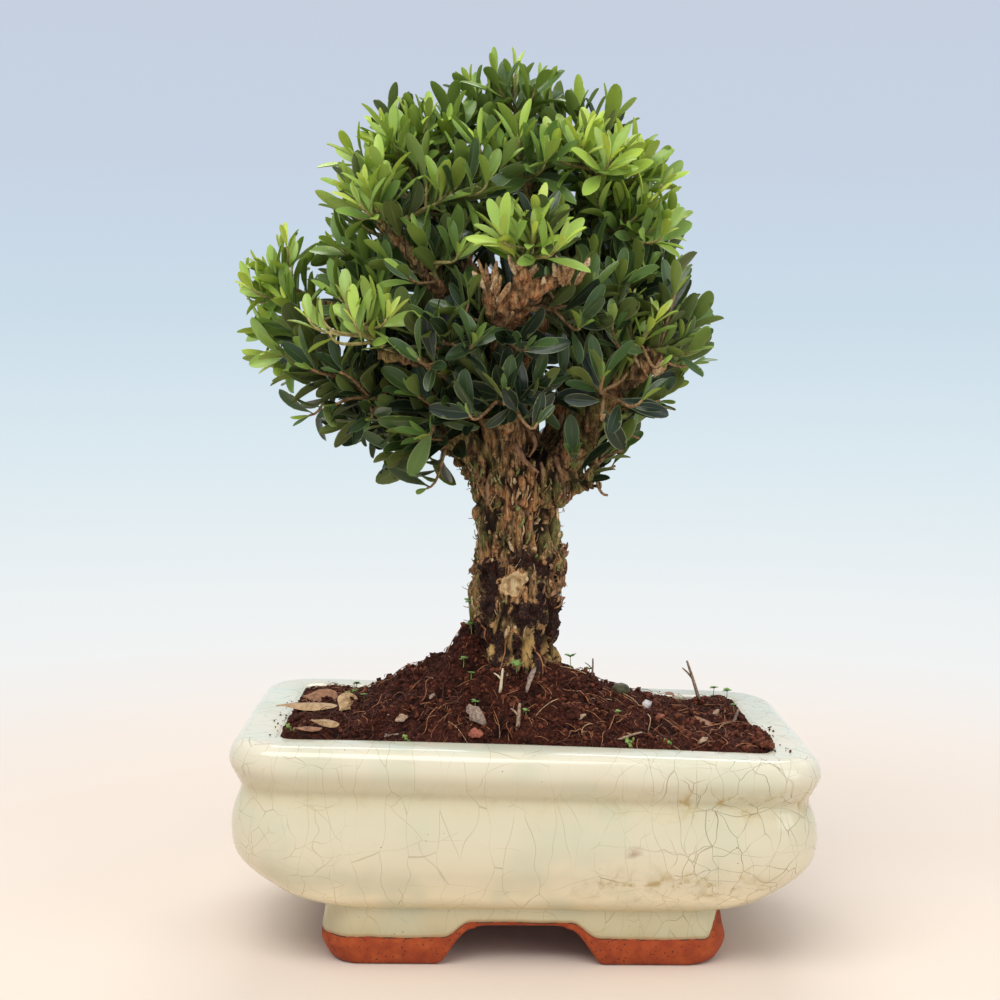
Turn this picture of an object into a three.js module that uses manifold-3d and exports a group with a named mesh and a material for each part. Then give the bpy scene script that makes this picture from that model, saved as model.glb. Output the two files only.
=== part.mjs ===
// A harland boxwood bonsai planted in its glazed rectangular pot.
// Millimetres, +Z up, the pot's feet stand on z = 0 and the viewer is on the -Y side.

import * as THREE from 'three';
import { mergeVertices } from 'three/addons/utils/BufferGeometryUtils.js';
import Module from 'manifold-3d';

const wasm = await Module();
wasm.setup();

// Driving dimensions of the pot
const RIM_HEIGHT = 70;
const RIM_FALL = 0.0235; // the rim sinks towards +X by this much for each mm
const POT_OUTSIDE = [
  // height, half width, half depth, corner radius
  [0, 60.6, 43, 10],
  [6.5, 64.2, 44.6, 11],
  [17, 62.2, 43.6, 11],
  [20.5, 73.8, 47.5, 16],
  [24.5, 80.9, 50.5, 18],
  [30, 87.9, 53.4, 20],
  [35, 91.2, 54.8, 20],
  [41.5, 92.1, 55.3, 20],
  [54.3, 88.9, 53.3, 16],
  [57.5, 90.4, 54.6, 17],
  [62.5, 92.3, 56, 18],
  [67, 91.2, 55.2, 17],
  [68.8, 88.4, 53, 15],
  [70, 78.5, 43, 8.5],
];
const POT_INSIDE = [
  [19, 58, 36, 8],
  [28, 74, 43, 12],
  [44, 80, 45.5, 14],
  [58, 76.5, 41, 7],
  [76, 76.5, 41, 7],
];
const FOOT_POCKET = { halfWidth: 49, halfDepth: 31, radius: 6 };
const BASE_UNDERSIDE = 12.6;
const FRONT_ARCH = { halfFoot: 24.3, halfTop: 13.2, centre: -1.2 };
const END_ARCH = { halfFoot: 17, halfTop: 9, centre: 0 };
const ARCH_SIDE = [
  // height, and how far the arch's side lies outside half its foot or half its top there
  { height: -1, past: 'halfFoot', by: 1 },
  { height: 3.5, past: 'halfFoot', by: -2 },
  { height: 10, past: 'halfTop', by: 2 },
  { height: BASE_UNDERSIDE, past: 'halfTop', by: 0 },
];
const DRAIN_PLACES = [-34, 34];
const DRAIN_RADIUS = 7;
const DRAIN_SIDES = 12;
const POT_SPLIT = { corner: 4, long: 1, short: 1 }; // steps in each corner and each straight side

// Driving dimensions of the drain meshes, which lie over the holes under the soil
const MESH_SIDE = 24;
const MESH_THICKNESS = 0.8;
const MESH_SLOTS = 2;
const MESH_SLOT_WIDTH = 4.5;
const MESH_MARGIN = 3;
const MESH_LIFT = 0.5; // above the pot's floor, so that the two don't touch

// Driving dimensions of the soil
const CLEARANCE = 0.3;
const SOIL_EDGE = 66.5;
const SOIL_RISE = 29;
const SOIL_ROUND = 52; // radius of the mound's foot where the soil's outline has turned into a circle
const SOIL_CENTRE = -3;
const SOIL_STEPS = [0.86, 0.7, 0.54, 0.38, 0.22]; // rings of the mound, as shares of the way to the edge
const SOIL_SPLIT = { corner: 2, long: 4, short: 2 };
const SOIL_HEAPS = [
  // centre x, centre y, half width, half depth, height
  [-34, 6, 17, 17, 5],
  [-18, 1, 6, 8, 9],
];
const SOIL_LUMPS = { height: 1.3, perX: 0.31, perY: 0.37, startX: 1, startY: 0.5 };
const SOIL_TURN = 0.7; // power by which the outline turns from the pot's into the mound's circle
const SOIL_SLOPE = 1.15; // power by which the mound rises towards its middle

// Driving dimensions of the trunk and its limbs
const TRUNK_SIDES = 18;
const TRUNK_BOTTOM = 52;
const TRUNK = [
  // height, centre x, centre y, radius
  [TRUNK_BOTTOM, -3, 0, 11],
  [66, -3, 0, 15.5],
  [88, -3, 0, 12.8],
  [95, -3, 0, 12.2],
  [103, -3.6, 0, 13.4],
  [111, -3, 0, 14.2],
  [121, -1.6, 0, 14],
  [137, -2.8, 0, 13.4],
  [145, -1.4, 0, 15.4],
  [151, -0.8, 0, 17.2],
  [157, -0.8, 0, 15.5],
  [161, -1.2, 0, 9.5],
];
const FLUTES = [
  // ridges round the trunk, height of a ridge as a part of the radius, twist per mm
  [6, 0.075, 0.012],
  [11, 0.03, -0.02],
];
const LIMB_SIDES = 5; // rings of so few sides are closed without a point in their middle
const LIMB_STEPS = 3;
const LIMBS = {
  lowLeft: { route: [[-10, -4, 146], [-17, -9, 159], [-30, -14, 170], [-45, -16, 179]], radii: [6.5, 2.4] },
  frontLeft: { route: [[-7, -6, 148], [-13, -16, 171], [-28, -29, 186], [-47, -35, 190]], radii: [4.4, 1.7] },
  upperLeft: { route: [[-5, -5, 150], [-13, -13, 184], [-30, -26, 212], [-47, -29, 231]], radii: [4.8, 1.7] },
  centreFront: { route: [[-2, -7, 148], [-8, -22, 178], [-8, -34, 200], [-2, -38, 212]], radii: [5.4, 2.8] },
  right: { route: [[9, -4, 147], [16, -9, 161], [26, -19, 178], [40, -27, 192]], radii: [6.8, 3.6] },
  rightTwig: { route: [[7, -8, 142], [17, -12, 149], [24, -13, 154]], radii: [3, 1.5] },
  leader: { route: [[-3, 1, 148], [-3, 2, 184], [1, 1, 222], [-2, 1, 254]], radii: [7, 1.9] },
  topRight: { route: [[-2, 2, 186], [6, 4, 206], [19, 6, 230], [28, 2, 248]], radii: [4.2, 1.6] },
  topLeft: { route: [[-3, 2, 178], [-11, 3, 202], [-27, 3, 232], [-37, 0, 249]], radii: [4.2, 1.6] },
  leftLobe: { route: [[-9, 2, 147], [-22, 3, 176], [-50, 2, 199], [-73, 0, 208]], radii: [5.4, 1.7] },
  rightUpper: { route: [[8, 2, 148], [18, 4, 172], [34, 2, 198], [44, 0, 210]], radii: [5.2, 1.7] },
  backLeft: { route: [[-6, 6, 148], [-14, 18, 178], [-27, 31, 204]], radii: [5, 1.8] },
  backRight: { route: [[5, 7, 148], [14, 19, 178], [25, 32, 206]], radii: [5, 1.8] },
  backTop: { route: [[-2, 4, 182], [2, 16, 212], [0, 27, 236]], radii: [4, 1.6] },
  backLow: { route: [[0, 9, 146], [3, 23, 162], [1, 37, 173]], radii: [4.6, 1.7] },
  lowLeftBack: { route: [[-9, 4, 145], [-26, 12, 160], [-42, 20, 171]], radii: [4.4, 1.6] },
  lowRightBack: { route: [[9, 5, 146], [23, 14, 160], [36, 20, 172]], radii: [4.2, 1.6] },
};

// Driving dimensions of the crown: the lobes that the leaf tips reach
const CROWN_CENTRE = [-6, 0, 205];
const LOBES = [
  // centre x, y, z and half sizes along x, y, z
  [-7, 0, 218, 58, 56, 58],
  [-33, -2, 243, 33, 36, 33],
  [20, 0, 240, 33, 38, 35],
  [-64, -4, 199, 32, 26, 26],
  [38, -2, 194, 28, 34, 28],
  [-36, 0, 172, 31, 36, 26],
  [22, 0, 173, 28, 38, 22],
];
const FEATURE_SHOOTS = [
  // where the stem ends and which way it points, for the shoots that stand out in the outline and in front
  { tip: [-5, 0, 281], heading: [0.1, 0, 1] },
  { tip: [16, 5, 271], heading: [0.15, 0.1, 1] },
  { tip: [-26, 0, 268], heading: [-0.25, -0.1, 1] },
  { tip: [-46, -10, 261], heading: [-0.5, -0.2, 1], young: true },
  { tip: [-56, -31, 240], heading: [-0.8, -0.35, 0.6], young: true },
  { tip: [-88, 0, 219], heading: [-0.7, 0, 0.7], young: true },
  { tip: [-85, -4, 197], heading: [-1, -0.1, 0.15] },
  { tip: [-56, -41, 205], heading: [-0.1, -0.3, 1], young: true },
  { tip: [-75, -15, 184], heading: [-0.9, -0.2, -0.1] },
  { tip: [-61, -20, 174], heading: [-0.7, -0.3, -0.5] },
  { tip: [1, -48, 230], heading: [0.2, -0.4, 1], young: true },
  { tip: [18, -20, 259], heading: [0.1, -0.2, 1], young: true },
  { tip: [34, -5, 255], heading: [0.4, -0.1, 1], young: true },
  { tip: [36, -17, 238], heading: [0.4, -0.4, 0.8], young: true },
  { tip: [52, -16, 201], heading: [0.8, -0.1, 0.4] },
  { tip: [43, -10, 176], heading: [0.9, -0.1, -0.1] },
  { tip: [31, -14, 160], heading: [0.9, -0.2, 0.1] },
  { tip: [22, -41, 184], heading: [0.2, -0.5, 0.8] },
  { tip: [38, -36, 201], heading: [0.4, -0.5, 0.6], young: true },
  { tip: [-42, -10, 158], heading: [-0.8, -0.3, -0.2] },
  { tip: [-8, -47, 178], heading: [0, -0.5, 0.8] },
  { tip: [-28, -46, 200], heading: [-0.2, -0.6, 0.6] },
];
const RULE_SHOOTS = 70;
const TIP_SPACING = 21;
const LOWEST_SHOOT_SLOPE = -0.62;
const LEAVES_PAST_TIP = 10; // from a stem's end to the tips of its last leaves
const LEAVES_PAST_RANGE = 4;
const UPWARD = [0.7, 0.4]; // how strongly shoots turn up: the least, and the range above it

// Driving dimensions of a spray: one twig with two side shoots
const TWIG_LENGTH = 24;
const TWIG_RADII = [1.5, 1.05];
const SIDE_RADII = [0.5, 1];
const STEM_SIDES = 3;
const TWIG_STEPS = 3;
const TWIG_SPACING = 5;
const TWIG_OUT = 0.35; // where a stem's curve leaves its base and meets its tip, as shares of its length
const TWIG_IN = 0.38;
const SIDE_IN = 0.35;
const SIDE_SPREAD = [11.25, 3.125]; // how far a side shoot's tip lies from the twig's: least and range
const SIDE_STARTS = [0.42, 0.62];
const SIDE_TURN = [2.3, 0.9]; // from one side shoot to the next, in radians: the least, and the range
const SIDE_LEAN = 0.7;
const SIDE_DROP = [2, 4]; // how far a side shoot's tip stays behind the twig's
const SIDE_BENDS = [0, 0.5, -0.5, 1, -1];
const BASES_TRIED = 12;
const BASE_SHARES = { first: 0.4, last: 0.99, step: 0.05 }; // places along a limb where a twig may start
const BEND_COST = 9;
const CROWDED_COST = 40;
const LEAST_STEM_KEPT = 0.55; // the part of a twig that must stay clear of the limbs

// Driving dimensions of a leaf
const LEAF_LENGTH = 16.5;
const LEAF_HALF_WIDTH = 3;
const LEAF_THICKNESS = 0.6;
const LEAF_ARCH = 0.13;
const LEAF_OUTLINE = [
  // distance along the leaf and half width, as parts of its length and half width
  [0.6, 1],
  [0.99, 0.5],
];
const ROOT_OFFSET = 0.35; // from the middle of the stem to the leaf's root, which lies inside the stem
const PAIR_SPACING = 4.4;
const TIP_BARE = 1.2;
const LEAFY_SHARE = 0.7;
const LEAF_AWAY = { first: 0.6, perPair: 0.13, range: 0.25 }; // angle from the stem, in radians
const LEAF_FACES_UP = 0.45;
const LEAF_SIZES = { least: 0.86, range: 0.26, atTip: 0.92, below: 1.04 };
const LEAF_ROUNDS = [
  // shoot number in the spray and pair number from its tip
  [0, 0],
  [1, 0],
  [2, 0],
  [0, 2],
];
const LEAF_BENDS = [
  // turn round the shoot and away from it, in radians, tried in this order to pass a neighbour
  [0, 0],
  [0.3, 0],
  [-0.3, 0],
  [0, 0.25],
  [0, -0.2],
  [0.6, 0.1],
  [-0.6, 0.1],
  [0.35, 0.4],
  [-0.35, 0.4],
];

const COLOURS = {
  glaze: { color: 0xd5d9c4, roughness: 0.22, metalness: 0 },
  drainMesh: { color: 0x2c2f33, roughness: 0.7, metalness: 0 },
  soil: { color: 0x3a1f16, roughness: 0.95, metalness: 0 },
  bark: { color: 0x8a6a43, roughness: 0.9, metalness: 0 },
  leaf: { color: 0x2f5a25, roughness: 0.35, metalness: 0 },
  youngLeaf: { color: 0x7fae3a, roughness: 0.4, metalness: 0 },
};

const UP = new THREE.Vector3(0, 0, 1);
const SIDEWAYS = new THREE.Vector3(0.31, 0.95, 0.05); // no shoot points this way
const plant = new THREE.Group();

// Small helpers
const vector = (values) => new THREE.Vector3(...values);

function draw(seed, item) {
  const value = Math.sin(seed * 12.9898 + item * 78.233) * 43758.5453;
  return value - Math.floor(value);
}

const inRange = ([least, range], share) => least + range * share;

function indexedGeometry(points, faces) {
  const geometry = new THREE.BufferGeometry().setFromPoints(points);
  geometry.setIndex(faces.flat());
  return geometry;
}

function toSolid(geometry) {
  const bare = geometry.clone();
  bare.deleteAttribute('normal');
  bare.deleteAttribute('uv');
  const merged = mergeVertices(bare, 1e-4);
  const vertProperties = new Float32Array(merged.attributes.position.array);
  const triVerts = new Uint32Array(merged.index.array);
  return new wasm.Manifold(new wasm.Mesh({ numProp: 3, vertProperties, triVerts }));
}

function addPiece(name, solid, colour) {
  const mesh = solid.getMesh();
  const geometry = new THREE.BufferGeometry();
  geometry.setAttribute('position', new THREE.BufferAttribute(new Float32Array(mesh.vertProperties), 3));
  geometry.setIndex(new THREE.BufferAttribute(new Uint32Array(mesh.triVerts), 1));
  const piece = new THREE.Mesh(geometry, new THREE.MeshStandardMaterial({ ...colour, flatShading: true }));
  piece.name = name;
  plant.add(piece);
}

// Joins rings of equal length, each anticlockwise seen from the end of the row, into a closed body
function loft(rings) {
  const sides = rings[0].length;
  const points = rings.flat();
  const faces = [];
  for (let i = 0; i + 1 < rings.length; i += 1) {
    for (let j = 0; j < sides; j += 1) {
      const here = i * sides + j;
      const next = i * sides + ((j + 1) % sides);
      faces.push([here, next, next + sides], [here, next + sides, here + sides]);
    }
  }
  const lastRing = (rings.length - 1) * sides;
  if (sides <= LIMB_SIDES) {
    for (let j = 1; j + 1 < sides; j += 1) {
      faces.push([0, j + 1, j], [lastRing, lastRing + j, lastRing + j + 1]);
    }
    return indexedGeometry(points, faces);
  }
  const middle = (ring) => ring.reduce((sum, p) => sum.add(p), new THREE.Vector3()).divideScalar(sides);
  points.push(middle(rings[0]), middle(rings.at(-1)));
  for (let j = 0; j < sides; j += 1) {
    const next = (j + 1) % sides;
    faces.push([points.length - 2, next, j], [points.length - 1, lastRing + j, lastRing + next]);
  }
  return indexedGeometry(points, faces);
}

function radiusAlong(radii, share) {
  const place = share * (radii.length - 1);
  const index = Math.min(Math.floor(place), radii.length - 2);
  return THREE.MathUtils.lerp(radii[index], radii[index + 1], place - index);
}

// A tapered tube along a curve, in straight steps
function tube(curve, radii, sides, steps, extra = 0) {
  const frames = curve.computeFrenetFrames(steps, false);
  const rings = [];
  for (let i = 0; i <= steps; i += 1) {
    const centre = curve.getPointAt(i / steps);
    const radius = radiusAlong(radii, i / steps) + extra;
    const ring = [];
    for (let j = 0; j < sides; j += 1) {
      const angle = (j / sides) * 2 * Math.PI;
      const across = frames.normals[i].clone().multiplyScalar(Math.cos(angle) * radius);
      ring.push(centre.clone().add(across).addScaledVector(frames.binormals[i], Math.sin(angle) * radius));
    }
    rings.push(ring);
  }
  return loft(rings);
}

// The pot: one fired piece, a belly under a rolled rim on four corner feet
function fallenHeight(x, height) {
  return height - RIM_FALL * x * (height / RIM_HEIGHT);
}

// A rounded rectangle, anticlockwise, with its corners and straight sides split into equal steps
function roundedRing(halfWidth, halfDepth, radius, height, split = POT_SPLIT) {
  const ring = [];
  for (let corner = 0; corner < 4; corner += 1) {
    const centreX = (corner < 2 ? 1 : -1) * (halfWidth - radius);
    const centreY = (corner === 1 || corner === 2 ? 1 : -1) * (halfDepth - radius);
    for (let step = 0; step <= split.corner; step += 1) {
      const angle = ((corner - 1 + step / split.corner) * Math.PI) / 2;
      ring.push(new THREE.Vector2(centreX + radius * Math.cos(angle), centreY + radius * Math.sin(angle)));
    }
    const end = ring.at(-1);
    const runsAlongX = corner % 2 === 1;
    const next = runsAlongX ? new THREE.Vector2(-end.x, end.y) : new THREE.Vector2(end.x, -end.y);
    const steps = runsAlongX ? split.long : split.short;
    for (let step = 1; step < steps; step += 1) ring.push(end.clone().lerp(next, step / steps));
  }
  return ring.map(({ x, y }) => new THREE.Vector3(x, y, fallenHeight(x, height)));
}

function ringsOf(profile, inset = 0, split = POT_SPLIT) {
  return profile.map(([height, halfWidth, halfDepth, radius]) => (
    roundedRing(halfWidth - inset, halfDepth - inset, radius - inset, height, split)));
}

// A tunnel under the base, wider at the foot than at its top
function archCutter(arch, length, alongX) {
  const side = (sign) => ARCH_SIDE.map(({ height, past, by }) => (
    new THREE.Vector2(arch.centre + sign * (arch[past] + by), height)));
  const shape = new THREE.Shape([...side(1), ...side(-1).reverse()]);
  const geometry = new THREE.ExtrudeGeometry(shape, { depth: length, bevelEnabled: false });
  geometry.rotateX(Math.PI / 2);
  geometry.translate(0, length / 2, 0);
  if (alongX) geometry.rotateZ(Math.PI / 2);
  return toSolid(geometry);
}

function buildPot() {
  const { halfWidth, halfDepth, radius } = FOOT_POCKET;
  const pocket = [-1, BASE_UNDERSIDE].map((height) => roundedRing(halfWidth, halfDepth, radius, height));
  let pot = toSolid(loft(ringsOf(POT_OUTSIDE)))
    .subtract(toSolid(loft(ringsOf(POT_INSIDE))))
    .subtract(toSolid(loft(pocket)))
    .subtract(archCutter(FRONT_ARCH, 3 * halfDepth, false))
    .subtract(archCutter(END_ARCH, 3 * halfWidth, true));
  for (const x of DRAIN_PLACES) {
    const hole = new THREE.CylinderGeometry(DRAIN_RADIUS, DRAIN_RADIUS, 4 * DRAIN_RADIUS, DRAIN_SIDES);
    hole.rotateX(Math.PI / 2);
    hole.translate(x, 0, POT_INSIDE[0][0]);
    pot = pot.subtract(toSolid(hole));
  }
  addPiece('pot', pot, COLOURS.glaze);
}

// Plastic meshes that keep the soil from running out of the drain holes
function meshHeight(x) {
  return fallenHeight(x, POT_INSIDE[0][0]) + MESH_LIFT;
}

function buildDrainMesh(name, x) {
  const plate = new THREE.BoxGeometry(MESH_SIDE, MESH_SIDE, MESH_THICKNESS);
  plate.translate(x, 0, meshHeight(x) + MESH_THICKNESS / 2);
  let mesh = toSolid(plate);
  const pitch = MESH_SIDE / (MESH_SLOTS + 1);
  for (let slot = 1; slot <= MESH_SLOTS; slot += 1) {
    const cutter = new THREE.BoxGeometry(MESH_SLOT_WIDTH, MESH_SIDE - 2 * MESH_MARGIN, 4 * MESH_THICKNESS);
    cutter.translate(x - MESH_SIDE / 2 + slot * pitch, 0, meshHeight(x));
    mesh = mesh.subtract(toSolid(cutter));
  }
  addPiece(name, mesh, COLOURS.drainMesh);
}

function meshRoom(x) {
  const side = MESH_SIDE + 2 * CLEARANCE;
  const height = MESH_THICKNESS + MESH_LIFT + 3 * CLEARANCE;
  const room = new THREE.BoxGeometry(side, side, height);
  room.translate(x, 0, meshHeight(x) + MESH_THICKNESS + CLEARANCE - height / 2);
  return toSolid(room);
}

// The trunk: a fluted column that swells where its limbs part
function trunkSolid(extra) {
  const rings = TRUNK.map(([height, centreX, centreY, radius]) => {
    const ring = [];
    for (let side = 0; side < TRUNK_SIDES; side += 1) {
      const angle = (side / TRUNK_SIDES) * 2 * Math.PI;
      let ridge = 1;
      for (const [count, depth, twist] of FLUTES) {
        ridge += depth * Math.cos(count * angle + twist * height * count);
      }
      const reach = radius * ridge + extra;
      const x = centreX + reach * Math.cos(angle);
      ring.push(new THREE.Vector3(x, centreY + reach * Math.sin(angle), height));
    }
    return ring;
  });
  rings[0].forEach((point) => { point.z -= extra; });
  rings.at(-1).forEach((point) => { point.z += extra; });
  return toSolid(loft(rings));
}

const limbCurves = Object.fromEntries(Object.entries(LIMBS).map(([name, { route }]) => (
  [name, new THREE.CatmullRomCurve3(route.map(vector), false, 'catmullrom', 0.5)])));

function woodSolid(extra) {
  let wood = trunkSolid(extra);
  for (const [name, { radii }] of Object.entries(LIMBS)) {
    wood = wood.add(toSolid(tube(limbCurves[name], radii, LIMB_SIDES, LIMB_STEPS, extra)));
  }
  return wood;
}

// The soil: fills the pot and rises in a mound round the trunk, from the pot's outline to a circle
function soilPoint({ x: edgeX, y: edgeY }, share) {
  const angle = Math.atan2(edgeY, edgeX);
  const round = (1 - share) ** SOIL_TURN;
  const roundX = SOIL_ROUND * share * Math.cos(angle) + SOIL_CENTRE;
  const x = THREE.MathUtils.lerp(edgeX * share, roundX, round);
  const y = THREE.MathUtils.lerp(edgeY * share, SOIL_ROUND * share * Math.sin(angle), round);
  let z = fallenHeight(x, SOIL_EDGE) + SOIL_RISE * (1 - share) ** SOIL_SLOPE;
  for (const [centreX, centreY, halfWidth, halfDepth, rise] of SOIL_HEAPS) {
    z += rise * Math.exp(-(((x - centreX) / halfWidth) ** 2) - ((y - centreY) / halfDepth) ** 2);
  }
  const { height, perX, perY, startX, startY } = SOIL_LUMPS;
  z += height * Math.sin(x * perX + startX) * Math.cos(y * perY + startY);
  return new THREE.Vector3(x, y, z);
}

function buildSoil(trunkRoom) {
  const walls = POT_INSIDE.filter(([height]) => height < SOIL_EDGE);
  const rings = ringsOf(walls, CLEARANCE, SOIL_SPLIT);
  rings[0].forEach((point) => { point.z += CLEARANCE; });
  const [edge] = ringsOf([[SOIL_EDGE, ...walls.at(-1).slice(1)]], CLEARANCE, SOIL_SPLIT);
  rings.push(edge);
  for (const share of SOIL_STEPS) rings.push(edge.map((point) => soilPoint(point, share)));
  let soil = toSolid(loft(rings)).subtract(trunkRoom);
  for (const x of DRAIN_PLACES) soil = soil.subtract(meshRoom(x));
  addPiece('soil', soil, COLOURS.soil);
}

// Where the leaf tips reach, straight out from the crown's centre
const crownCentre = vector(CROWN_CENTRE);

function crownReach(direction) {
  let reach = 0;
  for (const [x, y, z, a, b, c] of LOBES) {
    const size = new THREE.Vector3(a, b, c);
    const start = crownCentre.clone().sub(new THREE.Vector3(x, y, z)).divide(size);
    const step = direction.clone().divide(size);
    const along = start.dot(step);
    const inside = along ** 2 - step.lengthSq() * (start.lengthSq() - 1);
    if (inside > 0) reach = Math.max(reach, (-along + Math.sqrt(inside)) / step.lengthSq());
  }
  return reach;
}

// The tips and headings of all sprays: the named ones first, then an even spread over the crown
function sprayTips() {
  const tips = FEATURE_SHOOTS.map(({ tip, heading, young }) => (
    { tip: vector(tip), heading: vector(heading).normalize(), young }));
  const goldenAngle = Math.PI * (3 - Math.sqrt(5));
  for (let i = 0; i < RULE_SHOOTS; i += 1) {
    const slope = 1 - (2 * (i + 0.5)) / RULE_SHOOTS;
    const level = Math.sqrt(1 - slope * slope);
    const angle = goldenAngle * i;
    const out = new THREE.Vector3(level * Math.cos(angle), level * Math.sin(angle), slope);
    const pastTip = LEAVES_PAST_TIP + LEAVES_PAST_RANGE * draw(i, 1);
    const tip = crownCentre.clone().addScaledVector(out, crownReach(out) - pastTip);
    const heading = out.clone().addScaledVector(UP, inRange(UPWARD, draw(i, 2))).normalize();
    const isApart = tips.every((other) => other.tip.distanceTo(tip) > TIP_SPACING);
    if (slope > LOWEST_SHOOT_SLOPE && isApart) tips.push({ tip, heading });
  }
  return tips;
}

// Places on the limbs for a twig to the tip, those that give it about the usual length first
function twigBases(tip, heading, taken) {
  const bases = [];
  for (const curve of Object.values(limbCurves)) {
    for (let share = BASE_SHARES.first; share < BASE_SHARES.last; share += BASE_SHARES.step) {
      const point = curve.getPoint(share);
      const way = tip.clone().sub(point);
      const bend = 1 - way.dot(heading) / way.length();
      const crowded = taken.some((other) => other.distanceTo(point) < TWIG_SPACING);
      const cost = Math.abs(way.length() - TWIG_LENGTH) + BEND_COST * bend + (crowded ? CROWDED_COST : 0);
      bases.push({ point, cost });
    }
  }
  return bases.sort((a, b) => a.cost - b.cost).slice(0, BASES_TRIED).map(({ point }) => point);
}

function twigShoot({ tip, heading }, base, seed) {
  const curve = new THREE.CubicBezierCurve3(
    base,
    base.clone().lerp(tip, TWIG_OUT),
    tip.clone().addScaledVector(heading, -TWIG_IN * tip.distanceTo(base)),
    tip,
  );
  return { curve, radii: TWIG_RADII, steps: TWIG_STEPS, turn: 2 * Math.PI * draw(seed, 3) };
}

// Two unit vectors across a heading
function acrossOf(heading) {
  const across = new THREE.Vector3().crossVectors(heading, SIDEWAYS).normalize();
  return [across, new THREE.Vector3().crossVectors(heading, across)];
}

function sideShoot({ tip, heading }, twig, seed, side, bend) {
  const [across, beside] = acrossOf(heading);
  const turn = 2 * Math.PI * draw(seed, 4) + side * inRange(SIDE_TURN, draw(seed, 5)) + bend;
  const aside = across.multiplyScalar(Math.cos(turn)).addScaledVector(beside, Math.sin(turn));
  const start = twig.curve.getPoint(SIDE_STARTS[side]);
  const spread = inRange(SIDE_SPREAD, draw(seed, 6 + side));
  const sideHeading = heading.clone().addScaledVector(aside, SIDE_LEAN).normalize();
  const drop = inRange(SIDE_DROP, draw(seed, 8 + side));
  const sideTip = tip.clone().addScaledVector(aside, spread).addScaledVector(heading, -drop);
  const curve = new THREE.CubicBezierCurve3(
    start,
    start.clone().lerp(sideTip, TWIG_OUT),
    sideTip.clone().addScaledVector(sideHeading, -SIDE_IN * sideTip.distanceTo(start)),
    sideTip,
  );
  return { curve, radii: SIDE_RADII, steps: 1, turn: 2 * Math.PI * draw(seed, 10 + side) };
}

// A leaf blade that arches away from the side it faces, widest past its middle
function leafBlade({ root, heading, facing, length }, grow = 0) {
  const side = new THREE.Vector3().crossVectors(heading, facing).normalize();
  const halfWidth = (LEAF_HALF_WIDTH * length) / LEAF_LENGTH;
  const half = LEAF_THICKNESS / 2 + grow;
  const places = [[0, 0]];
  for (const [along, width] of LEAF_OUTLINE) places.push([along, width * halfWidth + grow]);
  for (const [along, width] of LEAF_OUTLINE.toReversed()) places.push([along, -width * halfWidth - grow]);
  const faceOf = (lift) => places.map(([along, width]) => root.clone()
    .addScaledVector(heading, along * length)
    .addScaledVector(side, width)
    .addScaledVector(facing, lift - LEAF_ARCH * length * along * along));
  const upper = [[0, 1, 4], [1, 2, 3], [1, 3, 4]];
  const count = places.length;
  const faces = upper.map(([a, b, c]) => [c, b, a]);
  for (const face of upper) faces.push(face.map((corner) => corner + count));
  for (let i = 0; i < count; i += 1) {
    const next = (i + 1) % count;
    faces.push([i, next, next + count], [i, next + count, i + count]);
  }
  return indexedGeometry([...faceOf(-half), ...faceOf(half)], faces);
}

// A place in the middle of a stem, on the straight steps of its tube
function stemPoint({ curve, steps }, share) {
  const place = share * steps;
  const step = Math.min(Math.floor(place), steps - 1);
  return curve.getPointAt(step / steps).lerp(curve.getPointAt((step + 1) / steps), place - step);
}

// The place and heading of one leaf of a pair on a shoot, with a bend to pass its neighbours
function leafPlace(shoot, seed, pair, member, [turnBend, awayBend]) {
  const stemLength = shoot.curve.getLength();
  const share = 1 - (TIP_BARE + PAIR_SPACING * pair) / stemLength;
  const point = stemPoint(shoot, share);
  const axis = shoot.curve.getTangentAt(share);
  const [across, beside] = acrossOf(axis);
  const turn = shoot.turn + (Math.PI / 2) * pair + Math.PI * member + turnBend;
  const out = across.multiplyScalar(Math.cos(turn)).addScaledVector(beside, Math.sin(turn));
  const awayDraw = draw(seed, 20 + pair * 2 + member);
  const away = LEAF_AWAY.first + LEAF_AWAY.perPair * pair + LEAF_AWAY.range * awayDraw + awayBend;
  const heading = axis.clone().multiplyScalar(Math.cos(away)).addScaledVector(out, Math.sin(away));
  const facing = axis.clone().multiplyScalar(Math.sin(away)).addScaledVector(out, -Math.cos(away));
  facing.addScaledVector(UP, LEAF_FACES_UP);
  facing.addScaledVector(heading, -facing.dot(heading)).normalize();
  const size = LEAF_SIZES.least + LEAF_SIZES.range * draw(seed, 40 + pair * 2 + member);
  const length = LEAF_LENGTH * size * (pair === 0 ? LEAF_SIZES.atTip : LEAF_SIZES.below);
  return { root: point.addScaledVector(out, ROOT_OFFSET), heading, facing, length };
}

const sphereOf = (geometry) => {
  geometry.computeBoundingSphere();
  return geometry.boundingSphere;
};

// Keeps what has been placed, and tells whether a body would touch a piece that it should pass
function makeRoomTest() {
  const placed = [];
  const isFree = (geometry, mayTouch) => {
    const sphere = sphereOf(geometry);
    const body = toSolid(geometry);
    return placed.every((other) => mayTouch(other)
      || !other.sphere.intersectsSphere(sphere)
      || body.intersect(other.body).isEmpty());
  };
  const place = (geometry, details) => {
    const body = toSolid(geometry);
    placed.push({ ...details, body, sphere: sphereOf(geometry) });
    return body;
  };
  return { isFree, place };
}

const stemOf = ({ curve, radii, steps }, extra) => tube(curve, radii, STEM_SIDES, steps, extra);

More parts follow.
